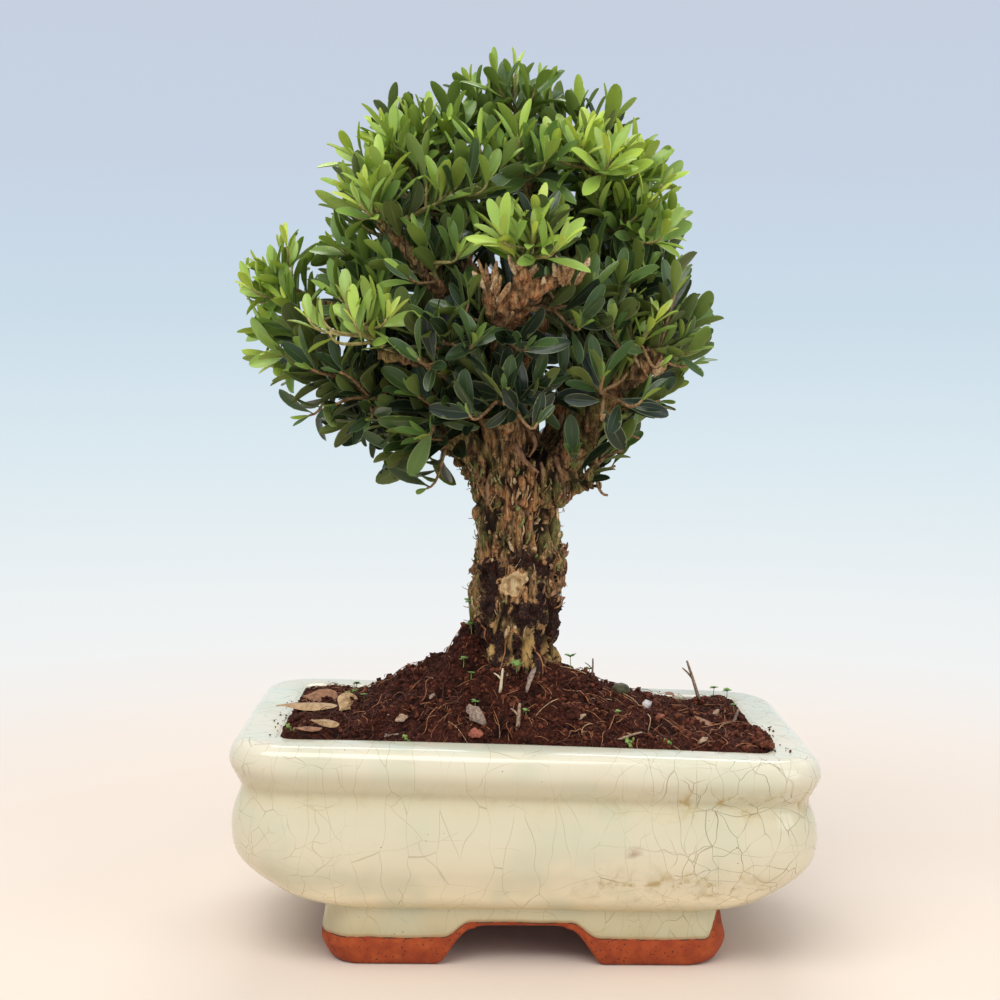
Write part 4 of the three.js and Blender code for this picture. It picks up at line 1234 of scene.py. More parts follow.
def build_pot():
    cutters = drain_cutters()
    belly = scratch_object("belly", *profile_body(POT_BELLY, 4, (12, 44, 26)))
    cut(belly, cutters)
    points, faces, normals = with_modifiers_applied(belly)
    around = signed_around(points, faces)
    points = thrown_by_hand(points, normals)
    shape = one_body(points, faces, **pot_values(points))
    shape.corner_values["around"] = around
    upper = add_piece("pot_body", shape, ["glaze"])

    foot = scratch_object("foot", *profile_body(POT_FOOT, 3, (8, 1, 1)))
    pocket = [rounded_ring(FOOT_POCKET["half_width"], FOOT_POCKET["half_depth"], FOOT_POCKET["radius"],
                           height, 6, 1, 1) for height in (-1, BASE_UNDERSIDE)]
    pocket_cutter = scratch_object("pocket", np.array(pocket).reshape(-1, 3), loft_faces(2, len(pocket[0])))
    arches = [arch_cutter(FRONT_ARCH, 120, False), arch_cutter(END_ARCH, 150, True)]
    cut(foot, [pocket_cutter, *arches, *cutters])
    points, faces, normals = voxel_skin(foot, FOOT_VOXEL, 3)
    values = pot_values(points)
    glaze_coat = GLAZE_THICKNESS * smooth(0, 0.9, values["above_line"])
    points = points + normals * glaze_coat[:, None]
    points[:, 2] = np.maximum(points[:, 2], 0)
    shape = one_body(points, faces, **values)
    shape.corner_values["around"] = signed_around(points, faces)
    lower = add_piece("pot_foot", shape, ["glaze"])
    for thing in [belly, foot, pocket_cutter, *arches, *cutters]:
        remove_object(thing)
    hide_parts("pot")
    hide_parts("pot")


# The trunk and limbs: one skin of cork over all the wood
limb_routes = {name: spline(route, 8) for name, (route, _) in LIMBS.items()}


def trunk_body():
    profile = spline(TRUNK, 8)
    sides = 90
    angles = np.arange(sides) / sides * 2 * math.pi
    rings = []
    for height, centre_x, centre_y, radius in profile:
        ridge = np.ones(sides)
        for count, depth, twist in FLUTES:
            ridge += depth * np.cos(count * angles + twist * height * count)
        reach = radius * ridge
        rings.append(np.stack([centre_x + reach * np.cos(angles), centre_y + reach * np.sin(angles),
                               np.full(sides, height)], axis=1))
    return np.vstack(rings), loft_faces(len(rings), sides)


def patch_gap(points, centre_x, height, half_width, half_height):
    """How far points are from a patch's middle, as a share of its half sizes."""
    return np.hypot((points[:, 0] - centre_x) / half_width, (points[:, 2] - height) / half_height)


def region_gap(points, region):
    return np.linalg.norm((points - region["place"]) / region["reach"], axis=1)


def scar_share(points, front):
    """How much of the pruning scar is at each point; its edge is ragged."""
    gap = patch_gap(points, *SCAR)
    ragged_gap = gap + 0.62 * layered(points, 2.4, 2, 51) * smooth(0.3, 0.9, gap)
    return np.where(front, smooth(1.55, 0.1, ragged_gap), 0)


def soiled_share(points, front):
    """How much earth clings to each point: in patches, round the base, behind and on the right."""
    x, _, z = points.T
    soiled = np.zeros(len(points))
    for patch in SOILED_PATCHES:
        soiled = np.maximum(soiled, np.where(front, smooth(1.95, 0.4, patch_gap(points, *patch)), 0))
    round_base = 0.8 * smooth(97, 84, z + 6 * rough(points, 5, 61))
    behind = smooth(0.1, 0.8, rough(points, [9, 9, 12], 71)) * smooth(130, 110, z)
    behind = np.where(front, 0, behind)
    right_flank = smooth(7, 12, x) * smooth(130, 120, z) * 0.5
    return np.maximum.reduce([soiled, round_base, behind, right_flank])


def moss_share(x, z):
    """Moss grows on the trunk's sides and high up on its left."""
    side = smooth(3, 12, np.abs(x + 2))
    high = smooth(118, 132, z) * smooth(160, 146, z)
    left = smooth(0, -10, x)
    return np.clip(0.12 + 0.55 * side + high * (0.3 + 0.4 * left), 0, 1)


def bark_shape(points, normals):
    """Moves the skin in and out into ridges and cracks, and gives the values that colour it."""
    stretched = points * [1, 1, 0.2]
    on_trunk = smooth(168, 150, points[:, 2])
    waver = np.stack([rough(points, size, seed) for size, seed in ((9, 31), (9, 32), (6, 33))], axis=1)
    wavy = stretched + 1.9 * waver
    nearest, second = cell_distances(wavy, 3.9, 5)
    crack = smooth(0.0, 0.34, second - nearest)
    ridge = 1 - np.abs(rough(wavy, 2.6, 11)) * 2
    lumps = layered(points * [1, 1, 0.5], 3.2, 3, 21)
    rise = -2.1 * (1 - crack) + 0.75 * ridge + 0.6 * lumps + 0.5
    limb_rise = 0.7 * layered(points, 2.6, 3, 41) - 0.6 * (1 - crack)
    rise = rise * on_trunk + limb_rise * (1 - on_trunk)

    x, y, z = points.T
    front = y < 0
    scar = scar_share(points, front)
    ring = smooth(0.3, 0.55, scar) * smooth(0.95, 0.7, scar)
    rise = rise * (1 - 0.9 * smooth(0.2, 0.5, scar)) + 0.9 * ring
    soiled = soiled_share(points, front) * (1 - smooth(0.25, 0.5, scar))
    rise = rise + 0.6 * soiled * on_trunk * (1 + 1.3 * layered(points, 1.7, 2, 81))

    sunk = smooth(1, 0.3, region_gap(points, HOLLOW))
    moved = points + normals * rise[:, None]
    moved[:, 1] += HOLLOW["depth"] * sunk * (y < -5)
    # Painted shade: the hollow's rise is lowered further, only so that the bark material darkens it near to
    # black
    rise = rise - 3 * sunk
    warm = np.where(front, smooth(1.6, 0.3, patch_gap(points, *WARM_PATCH)), 0)
    warm = np.maximum(warm, smooth(1.2, 0.7, region_gap(points, KNOT)))
    yellow = smooth(106, 98, z)
    moss = moss_share(x, z) * (1 - 0.7 * yellow) * (1 - smooth(0.2, 0.5, scar)) * (1 - 0.8 * warm)
    return moved, {"rise": rise, "moss": moss, "soiled": soiled, "scar": scar, "yellow": yellow, "warm": warm}


def build_trunk():
    wood = one_body(*trunk_body())
    routes = [(limb_routes[name], radii) for name, (_, radii) in LIMBS.items()]
    routes += [(spline(route, 5), radii) for route, radii in SNAGS]
    for route, radii in routes:
        add_tube(wood, route, radii, 14)
    core = scratch_object("core", np.vstack(wood.points), wood.faces)
    points, faces, normals = voxel_skin(core, WOOD_VOXEL, 2)
    remove_object(core)
    points, values = bark_shape(points, normals)
    piece = add_piece("trunk_and_limbs", one_body(points, faces, **values), ["bark"])
    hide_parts("trunk")
    skin = BVHTree.FromPolygons(points.tolist(), faces)
    build_flakes(skin)
    build_torn_bark(skin)
    return skin


def on_skin(skin, height, angle):
    """The place on the trunk's skin at a height and a direction round it, and the way out of it."""
    out = level_way(angle)
    middle = np.array([-2.0, 0, height])
    place, normal, _, _ = skin.ray_cast(Vector(middle + out * OUTSIDE_TRUNK), Vector(-out))
    return (np.array(place), np.array(normal)) if place else (middle + out * TYPICAL_RADIUS, out)


def build_flakes(skin):
    """Small flakes, crumbs and fibres that stand off the trunk's bark."""
    shape = Shape()
    for item in range(FLAKES):
        height = 92 + 68 * draw(item, 201) ** 0.8
        angle = any_turn(item, 202)
        place, out = on_skin(skin, height, angle)
        kind = draw(item, 203)
        soiled = any(abs(place[0] - x) < half_width and abs(height - z) < half_height
                     for x, z, half_width, half_height in SOILED_PATCHES)
        look = 1 if soiled or height < 98 else (0, 0, 2, 3)[int(4 * draw(item, 204))]
        if kind < FLAKE_KINDS[0]:
            lean = draw(item, 205) - 0.5
            heading = unit(UP + np.array([lean, 0, 0]) + out * 0.25)
            facing = square_to(heading, out)
            add_chip(shape, place + out * 0.2, heading, facing, 1.4 + 3.6 * draw(item, 206) ** 1.5,
                     0.4 + 0.9 * draw(item, 207), item, 0.25, 0.1, look)
        elif kind < FLAKE_KINDS[1]:
            add_crumb(shape, place, 0.35 + 0.75 * draw(item, 208) ** 2, item, look)
        else:
            way = unit(scattered(item, 209) + out * 0.4)
            middle = place + way * 1.5 + out * 0.8
            route = bezier(place, place + out, middle, place + way * (2 + 3 * draw(item, 212)), 5)
            add_tube(shape, route, [0.16, 0.08], 4, look)
    add_piece("bark_flakes", shape, ["bark_flake", "soil_crumb", "pale_flake", "green_flake"])


def build_torn_bark(skin):
    """Peeled strips at the hollow, the splintered knot ends and roots that cling to the base."""
    strips = Shape()
    for number, (route, radius) in enumerate(TORN_STRIPS):
        path = spline(route, 5)
        path += 0.3 * np.stack([rough(path, 3, 90 + number + axis) for axis in range(3)], axis=1)
        add_tube(strips, path, [radius * 0.7, radius, radius * 0.8, radius * 0.3], 7, 0)
    for item in range(KNOT_SPLINTERS):
        end = np.array(KNOT_ENDS[item % len(KNOT_ENDS)], float)
        scatter = scattered(item, 221)
        heading = unit(UP + scatter * [1.6, 1.2, 0.8])
        facing = square_to(heading, np.array([0.3 * scatter[0], -1, 0]))
        length = 3 + 5 * draw(item, 224)
        add_chip(strips, end + scatter * [6, 3, 4] + heading * length * 0.3, heading, facing, length,
                 1 + 1.1 * draw(item, 225), 340 + item, 0.5, 0.05, 1 + item % 2)
    for item in range(DEBRIS):
        place, out = on_skin(skin, 109 + 19 * draw(item, 231), -1.05 + 1.15 * draw(item, 232))
        aside = np.cross(UP, out) * (draw(item, 234) - 0.5)
        heading = unit(UP * (draw(item, 233) - 0.4) + aside + out * 0.25)
        facing = square_to(heading, out)
        length = 1.6 + 3 * draw(item, 235)
        add_chip(strips, place + out * 0.5, heading, facing, length, 0.7 + 1.1 * draw(item, 236),
                 520 + item, 0.3, 0.22, item % 3 // 2)
    add_piece("torn_bark", strips, ["peeled_bark", "bark_flake", "pale_flake"])
    clinging = Shape()
    for number, route in enumerate(BASE_ROOTS):
        held = []
        for height, angle in spline(route, 5):
            place, out = on_skin(skin, height, angle)
            held.append(place + out * 0.15)
        add_tube(clinging, np.array(held), [0.36, 0.28, 0.16], 6)
    add_piece("base_roots", clinging, ["root_skin"])


# The soil: a crumbly mound in the pot
def soil_edge_ring():
    return np.array(rounded_ring(SOIL_HALF_WIDTH, SOIL_HALF_DEPTH, SOIL_CORNER, SOIL_EDGE, 8, 30, 18))


def mound_surface():
    """The even mound under the crumbs, from the pot's outline to a circle round the trunk."""
    edge = soil_edge_ring()
    angle = np.arctan2(edge[:, 1], edge[:, 0])
    rings = []
    for share in np.linspace(1, 0.02, 40):
        roundness = (1 - share) ** 0.7
        x = edge[:, 0] * share * (1 - roundness) + (SOIL_ROUND * share * np.cos(angle) - 3) * roundness
        y = edge[:, 1] * share * (1 - roundness) + SOIL_ROUND * share * np.sin(angle) * roundness
        mound = SOIL_RISE * (1 - share) ** 1.15
        lumps = 1.3 * np.sin(x * 0.31 + 1) * np.cos(y * 0.37 + 0.5)
        at_ends = SOIL_END_RISE * smooth(56, 72, np.abs(x)) + 1.2 * smooth(-48, -68, x)
        at_ends *= 1 - 0.45 * smooth(-5, 30, y) * (x < 0)
        z = fallen(x, SOIL_EDGE) + mound
        for centre_x, centre_y, reach_x, reach_y, height in SOIL_HEAPS:
            z = z + height * np.exp(-((x - centre_x) / reach_x) ** 2 - ((y - centre_y) / reach_y) ** 2)
        rings.append(np.stack([x, y, z + lumps + at_ends], axis=1))
    points = np.vstack(rings)
    return BVHTree.FromPolygons(points.tolist(), loft_faces(len(rings), len(edge), False, True))


def height_on(surface, x, y):
    hit = surface.ray_cast(Vector((x, y, 200)), Vector((0, 0, -1)))[0]
    return hit.z if hit else SOIL_EDGE


def into_outline(x, y):
    """Moves a place into the soil's rounded outline, and says how far out it was."""
    inner_x = SOIL_HALF_WIDTH - SOIL_CORNER
    inner_y = SOIL_HALF_DEPTH - SOIL_CORNER
    out_x = np.maximum(np.abs(x) - inner_x, 0)
    out_y = np.maximum(np.abs(y) - inner_y, 0)
    gap = np.hypot(out_x, out_y)
    pull = np.where(gap > SOIL_CORNER, SOIL_CORNER / np.maximum(gap, 1e-6), 1)
    new_x = np.sign(x) * (np.minimum(np.abs(x), inner_x) + out_x * pull)
    new_y = np.sign(y) * (np.minimum(np.abs(y), inner_y) + out_y * pull)
    return new_x, new_y, gap - SOIL_CORNER


def past_edge(x, y):
    """How far a place lies past the soil's outline, below zero inside it."""
    return into_outline(np.array([x]), np.array([y]))[2][0]


def lying_at(surface, x, y, lift):
    """A place on the soil's surface, raised by so much."""
    return np.array([x, y, height_on(surface, x, y) + lift])


def crumbled(points):
    """Raises crumbs of several sizes on the mound."""
    coarse, _ = cell_distances(points * [1, 1, 0.4] + 1.5 * rough(points, 4, 105)[:, None], 4.4, 101)
    fine, _ = cell_distances(points * [1, 1, 0.4], 1.7, 102)
    clods = 2.1 * (0.55 - coarse) + 1.1 * rough(points, 8, 103)
    return clods + 0.8 * (0.55 - fine) + 0.75 * rough(points, 1.4, 104)


def close_below(work):
    """Draws the surface's border down along the pot's walls and closes it at the bottom."""
    edges = [edge for edge in work.edges if edge.is_boundary]
    last_width, last_depth = SOIL_HALF_WIDTH, SOIL_HALF_DEPTH
    for height, half_width, half_depth in SOIL_WALLS:
        made = bmesh.ops.extrude_edge_only(work, edges=edges)["geom"]
        for vert in (item for item in made if isinstance(item, bmesh.types.BMVert)):
            vert.co.x *= half_width / last_width
            vert.co.y *= half_depth / last_depth
            vert.co.z = fallen(vert.co.x, height)
        edges = [item for item in made if isinstance(item, bmesh.types.BMEdge)]
        last_width, last_depth = half_width, half_depth
    bmesh.ops.edgeloop_fill(work, edges=edges)
    bmesh.ops.recalc_face_normals(work, faces=work.faces)
    work.verts.index_update()


def build_soil():
    even = mound_surface()
    columns = np.linspace(-SOIL_HALF_WIDTH, SOIL_HALF_WIDTH, int(2 * SOIL_HALF_WIDTH / SOIL_GRID))
    rows = np.linspace(-SOIL_HALF_DEPTH, SOIL_HALF_DEPTH, int(2 * SOIL_HALF_DEPTH / SOIL_GRID))
    grid_x, grid_y = np.meshgrid(columns, rows)
    x, y, outside = into_outline(grid_x.ravel(), grid_y.ravel())
    z = np.array([height_on(even, *place) for place in zip(x * 0.999, y * 0.999)])
    points = np.stack([x, y, z], axis=1)
    rise = crumbled(points)
    rim_gap = np.minimum(SOIL_HALF_WIDTH - np.abs(x), SOIL_HALF_DEPTH - np.abs(y))
    rise *= 0.6 + 0.4 * smooth(0, 4, rim_gap)
    points[:, 2] += rise
    wide = len(columns)
    kept = outside < SOIL_GRID
    work = bmesh.new()
    verts = [work.verts.new(point) for point in points]
    for row in range(len(rows) - 1):
        for column in range(wide - 1):
            here = row * wide + column
            corners = [here, here + 1, here + 1 + wide, here + wide]
            if all(kept[corner] for corner in corners):
                work.faces.new([verts[corner] for corner in corners])
    bmesh.ops.delete(work, geom=[v for v in work.verts if not v.link_faces], context="VERTS")
    bmesh.ops.remove_doubles(work, verts=work.verts, dist=0.02)
    close_below(work)
    soil_points = np.array([vert.co[:] for vert in work.verts])
    faces = [[vert.index for vert in face.verts] for face in work.faces]
    work.free()
    # The crumbs' rise, which the soil material turns into painted shade where it is low
    rise = np.where(soil_points[:, 2] > SOIL_WALLS[0][0] + 2, crumbled(soil_points), 0)
    piece = add_piece("soil_mound", one_body(soil_points, faces, rise=rise), ["soil"])
    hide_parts("soil")
    return BVHTree.FromPolygons(soil_points.tolist(), faces)


# Loose things on the soil
def add_fibre(shape, surface, seed, length, radius, look):
    """A bent fibre or straw that lies on the peat, left out where it would pass the soil's edge."""
    x = 148 * (draw(seed, 21) - 0.5)
    y = 78 * (draw(seed, 22) - 0.5)
    angle = any_turn(seed, 23)
    along = level_way(angle)
    ends = [np.array([x, y, 0]) + along * length * side for side in (-0.5, 0.5)]
    if any(past_edge(end[0], end[1]) > -0.6 for end in ends):
        return
    for end in ends:
        end[2] = height_on(surface, end[0], end[1]) + 0.2 + 0.9 * draw(seed, 25)
    rise = UP * length * (0.03 + 0.24 * draw(seed, 26) ** 1.5)
    aside = np.array([-along[1], along[0], 0]) * length * 0.9 * (draw(seed, 27) - 0.5)
    route = bezier(ends[0], ends[0] * 0.7 + ends[1] * 0.3 + rise + aside,
                   ends[0] * 0.3 + ends[1] * 0.7 + rise, ends[1], 6)
    add_tube(shape, route, [radius, radius * 0.6], 4, look)


def build_crumbs(surface):
    """Loose crumbs and fibres of peat all over the mound, thickest round the trunk."""
    crumbs = Shape()
    for item in range(CRUMBS):
        x = 152 * (draw(item, 1) - 0.5)
        y = 81 * (draw(item, 2) - 0.5)
        if item % 4 == 0:
            angle = any_turn(item, 3)
            reach = 13 + 26 * draw(item, 4) ** 1.6
            x, y = -3 + reach * math.cos(angle), reach * math.sin(angle)
        if past_edge(x, y) > -0.8:
            continue
        size = 0.26 + 1.1 * draw(item, 5) ** 3.2
        place = lying_at(surface, x, y, 0.25 * size)
        look = 0 if draw(item, 6) < 0.66 - 0.004 * x else 1
        add_crumb(crumbs, place, size, item, look, (1, 0.85, 0.7))
    add_piece("soil_crumbs", crumbs, ["soil_crumb", "red_crumb"])
    fibres = Shape()
    for item in range(FIBRES):
        add_fibre(fibres, surface, item, 2.5 + 6 * draw(item, 24) ** 2, 0.07 + 0.1 * draw(item, 28),
                  0 if draw(item, 29) < 0.78 else 1)
    for item in range(FIBRES, FIBRES + STRAWS):
        add_fibre(fibres, surface, item, 5 + 9 * draw(item, 24), 0.09 + 0.12 * draw(item, 28),
                  2 if draw(item, 29) < 0.55 else 1)
    add_piece("soil_fibres", fibres, ["peat_fibre", "root_skin", "straw"])


def build_spilled(surface):
    """Specks of peat on the pot's ledge and the soil that spills over its right end."""
    shape = Shape()
    for item in range(SPILLED["long_sides"]):
        if item < SPILLED["right_corner"]:
            turn = any_turn(item, 31)
            far = math.sqrt(draw(item, 34))
            x, y = 75.5 + 3.6 * far * math.cos(turn), -24 + 15 * far * math.sin(turn)
            size = 0.4 + 1.2 * draw(item, 33) ** 2
        elif item < SPILLED["right_ledge"]:
            x = 77 + 6 * draw(item, 31) ** 1.5
            y = -42 + 40 * draw(item, 32)
            size = 0.2 + 0.5 * draw(item, 33) ** 2
        elif item < SPILLED["left_ledge"]:
            x = -77.5 - 4 * draw(item, 31) ** 2
            y = -43 + 60 * draw(item, 32)
            size = 0.14 + 0.26 * draw(item, 33) ** 2
        else:
            x = -76 + 152 * draw(item, 31)
            y = (-41.8 - 4 * draw(item, 32) ** 2) * (1 if item % 3 else -1)
            size = 0.12 + 0.26 * draw(item, 33) ** 2
        in_soil = abs(x) < 76.5 and abs(y) < 41
        floor = max(height_on(surface, x, y), fallen(x, RIM_HEIGHT)) if in_soil else fallen(x, RIM_HEIGHT)
        add_crumb(shape, [x, y, floor + 0.3 * size], size, item + 7000, item % 2, (1, 0.9, 0.65))
    add_piece("spilled_soil", shape, ["soil_crumb", "red_crumb"])


def resting_height(surface, x, y):
    """The height of the peat, or of the pot's ledge beside it."""
    in_soil = abs(x) < SOIL_HALF_WIDTH and abs(y) < SOIL_HALF_DEPTH
    return height_on(surface, x, y) if in_soil else fallen(x, RIM_HEIGHT)


def build_dead_leaves(surface):
    leaves = Shape()
    for number, (x, y, turn, length, width, tilt, look) in enumerate(DEAD_LEAVES):
        turn = math.radians(turn)
        heading = level_way(turn)
        ends = [resting_height(surface, x + heading[0] * length * side, y + heading[1] * length * side)
                for side in (-0.4, 0.4)]
        rest = max(sum(ends) / 2, resting_height(surface, x, y)) + 1.7
        heading = unit(heading * length * 0.8 + UP * (ends[1] - ends[0]))
        facing = unit(UP + np.array([0.3 * math.sin(turn), -1.2, 0]) * tilt)
        facing = square_to(heading, facing)
        root = np.array([x, y, rest]) - heading * length / 2
        start = len(leaves.faces)
        add_leaf(leaves, root, heading, facing, length, 0, 400 + number, width / (2 * LEAF_HALF_WIDTH)
                 * LEAF_LENGTH / length, 0.12 - 0.2 * draw(number, 45), -0.25)
        leaves.looks[start:] = [look] * (len(leaves.faces) - start)
    add_piece("dead_leaves", leaves, ["dead_leaf", "brown_dead_leaf"])


def build_chips(surface):
    chips = Shape()
    for number, (x, y, turn, lean, length, width, look) in enumerate(CHIPS):
        turn, lean = math.radians(turn), math.radians(lean)
        heading = level_way(turn) * math.cos(lean) + UP * math.sin(lean)
        facing = square_to(heading, np.array([-0.3, -1, 0.7]))
        place = lying_at(surface, x, y, 0.3 + length * math.sin(lean) * 0.42)
        add_chip(chips, place, heading, facing, length, width, 430 + number, 0.4, 0.1, look)
    add_piece("wood_chips", chips, ["dry_wood", "grey_chip", "red_wood"])


def build_sticks(surface):
    """Dry sticks; the longer ones have a fork."""
    sticks = Shape()
    for number, (x, y, along_x, along_y, rise, radius, look) in enumerate(STICKS):
        start = lying_at(surface, x, y, -1)
        end = start + [along_x, along_y, rise + 1]
        knee = start * 0.45 + end * 0.55 + np.array([0.5, 0.3, 0.4]) * (draw(number, 41) - 0.2)
        add_tube(sticks, spline([start, knee, end], 4), [radius, radius * 0.8, radius * 0.55], 7, look)
        if np.linalg.norm(end - start) > 7:
            fork = knee + [-0.2 * rise - 1, 0.6, 0.28 * rise]
            add_tube(sticks, spline([knee, (knee + fork) / 2 + [0, 0, 0.3], fork], 2),
                     [radius * 0.6, radius * 0.35], 6, look)
    add_piece("dry_sticks", sticks, ["dry_wood", "grey_chip", "pale_root"])


def build_surface_roots(surface):
    roots = Shape()
    for number, (route, arch) in enumerate(SURFACE_ROOTS):
        path = []
        for share, (x, y) in zip(np.linspace(0, 1, 15), spline(route, 7)):
            wobble = 0.5 * math.sin(share * 17 + number)
            held = height_on(surface, x + wobble, y) - 0.1 + arch * math.sin(math.pi * share) * 0.6
            path.append([x + wobble, y, held])
        add_tube(roots, np.array(path), [0.1, 0.18, 0.08], 6)
    add_piece("surface_roots", roots, ["root_skin"])


def build_seedlings(surface):
    """Seedlings with two pairs of round leaves."""
    shape = Shape()
    for number, (x, y, height, size) in enumerate(SEEDLINGS):
        foot = lying_at(surface, x, y, -0.3)
        top = foot + [0.5 * (draw(number, 51) - 0.5), -0.3, height]
        stem = bezier(foot, foot + UP * height * 0.4, top - UP * height * 0.3, top, 4)
        add_tube(shape, stem, [0.15, 0.12], 5)
        for leaf in range(4):
            turn = math.pi / 2 * leaf + draw(number, 52)
            out = np.array([math.cos(turn), math.sin(turn), 0.6 * draw(number * 4 + leaf, 53)])
            heading = unit(out)
            facing = square_to(heading, UP)
            leaf_size = size * (1.25 if leaf % 2 else 0.95)
            add_chip(shape, top + out * leaf_size * 0.5, heading, facing, leaf_size, leaf_size * 0.85,
                     460 + number * 4 + leaf, 0.16, 0.06)
    add_piece("seedlings", shape, ["seedling_green"])


def build_moss(surface):
    """Tufts of tiny leaves."""
    moss = Shape()
    for number, (x, y, reach) in enumerate(MOSS_BITS):
        for item in range(MOSS_LEAVES):
            seed = number * 30 + item
            turn = any_turn(seed, 61)
            far = reach * 0.5 * math.sqrt(draw(seed, 62))
            at_x, at_y = x + far * math.cos(turn), y + far * math.sin(turn)
            if past_edge(at_x, at_y) > -0.5:
                continue
            place = lying_at(surface, at_x, at_y, 0.4)
            lean = np.array([draw(seed, 64) - 0.5, draw(seed, 65) - 0.5, 0]) * 2.4
            heading = unit(UP + lean)
            facing = square_to(heading, np.array([0, -1, 0.3]))
            add_chip(moss, place, heading, facing, 1 + 1.1 * draw(seed, 63), 0.7 + 0.5 * draw(seed, 66),
                     seed + 900, 0.12, 0.15)
    add_piece("moss_bits", moss, ["moss_green"])


def build_stone_and_husk(surface):
    stone = Shape()
    add_crumb(stone, lying_at(surface, *PALE_STONE, 0.7), 2.1, 77, 0, (1, 0.9, 0.8))
    add_piece("pale_stone", stone, ["pale_stone"])
    husk = Shape()
    shares = np.linspace(-0.98, 0.98, 11)
    middle = lying_at(surface, *DARK_HUSK, 1.2)
    route = [middle + UP * 2.6 * share for share in shares]
    add_tube(husk, route, 3.1 * np.sqrt(1 - shares ** 2), 14)
    add_piece("dark_husk", husk, ["dark_husk"])


# Leaves
def leaf_width(along):
    """Half width along a leaf as a part of its greatest: a narrow base and a rounded tip."""
    below = np.sin(np.pi / 2 * np.clip(along / WIDEST, 0, 1)) ** 1.25
    past = np.clip((along - WIDEST) / (1 - WIDEST), 0, 1)
    return np.maximum(np.where(along < WIDEST, below, (1 - past ** 2.1) ** 0.58), STALK_WIDTH)


def leaf_grid(columns, is_under):
    """Where one face of a leaf has its points, along and across, and what joins them."""
    wide = len(columns)
    tip = len(LEAF_ROWS) * wide
    along = np.append(np.repeat(LEAF_ROWS, wide), 0.994)
    across = np.append(np.tile(columns, len(LEAF_ROWS)), 0)
    faces = []
    for row in range(len(LEAF_ROWS) - 1):
        for column in range(wide - 1):
            here = row * wide + column
            faces.append([here, here + wide, here + wide + 1, here + 1])
    for column in range(tip - wide, tip - 1):
        faces.append([column, tip, column + 1])
    if is_under:
        faces = [face[::-1] for face in faces]
    return along, across, leaf_width(along) * across, faces


LEAF_GRIDS = [leaf_grid(TOP_COLUMNS, False), leaf_grid(UNDER_COLUMNS, True)]


def add_leaf(shape, root, heading, facing, length, age, seed, width=1.0, arch=LEAF_ARCH, cup=LEAF_CUP):
    """A blade with two faces that meet at its margin."""
    side = np.cross(heading, facing)
    half_width = LEAF_HALF_WIDTH * width * length / LEAF_LENGTH
    thickness = LEAF_THICKNESS * np.clip(length / LEAF_LENGTH, 0.3, 1)
    for face, (along, across, reach, faces) in enumerate(LEAF_GRIDS):
        offset = reach * half_width
        sway = 0.12 * (draw(seed, 1) - 0.5) * length * along ** 2
        twist = 0.7 * (draw(seed, 2) - 0.5) * along
        lift = -arch * length * along ** 2 + twist * offset + cup * np.abs(offset) * np.abs(across) ** 0.2
        lift += 0.05 * half_width * np.sin(along * 9 + draw(seed, 3) * 6) * across ** 2
        lift -= face * thickness * (1 - across ** 2)
        middle_line = root + np.outer(along * length, heading)
        points = middle_line + np.outer(offset + sway, side) + np.outer(lift, facing)
        shape.add(points, faces, face, age=age, tone=draw(seed, 4), along=along, across=across)


def across_of(heading):
    across = unit(np.cross(heading, [0.31, 0.95, 0.05]))
    return across, np.cross(heading, across)


def lengths_along(route):
    """The distance from a route's start to each of its points."""
    return np.append(0, np.cumsum(np.linalg.norm(np.diff(route, axis=0), axis=1)))


def place_on(route, share):
    """The place and the heading at a share of a route's length."""
    lengths = lengths_along(route)
    wanted = share * lengths[-1]
    point = np.array([np.interp(wanted, lengths, route[:, axis]) for axis in range(3)])
    step = max(min(np.searchsorted(lengths, wanted), len(route) - 1), 1)
    return point, unit(route[step] - route[step - 1])


CLEARED = np.array(CLEARINGS)
TOWARD_VIEWER = np.array(VIEWER) - CLEARED[:, :3]
TOWARD_VIEWER /= np.linalg.norm(TOWARD_VIEWER, axis=1)[:, None]


def hides_wood(places):
    """Whether any of the places stands before one of the clearings, as seen from the front."""
    gaps = places[:, None] - CLEARED[:, :3]
    ahead = (gaps * TOWARD_VIEWER).sum(axis=2)
    aside = np.linalg.norm(gaps - ahead[:, :, None] * TOWARD_VIEWER, axis=2)
    return bool(((ahead > -CLEARED[:, 3]) & (aside < CLEARED[:, 3])).any())


def room_in_crown(root, heading, length, past=PAST_OUTLINE):
    """How long a leaf may grow before it passes the crown's outline or hangs under its skirt."""
    tip = root + heading * length
    if hides_wood(root + np.outer([0.35, 0.65, 0.95], heading * length)):
        return 0
    from_centre = tip - CROWN_CENTRE
    distance = np.linalg.norm(from_centre)
    excess = distance - crown_reach(from_centre / distance) - past
    over_skirt = tip[2] - SKIRT_HEIGHT
    excess = max(excess, -over_skirt * 1.3, tip[0] - SKIRT_RIGHT - over_skirt,
                 -tip[0] - SKIRT_LEFT - 1.1 * over_skirt, -tip[0] - LEFT_REACH)
    return length - max(excess, 0)


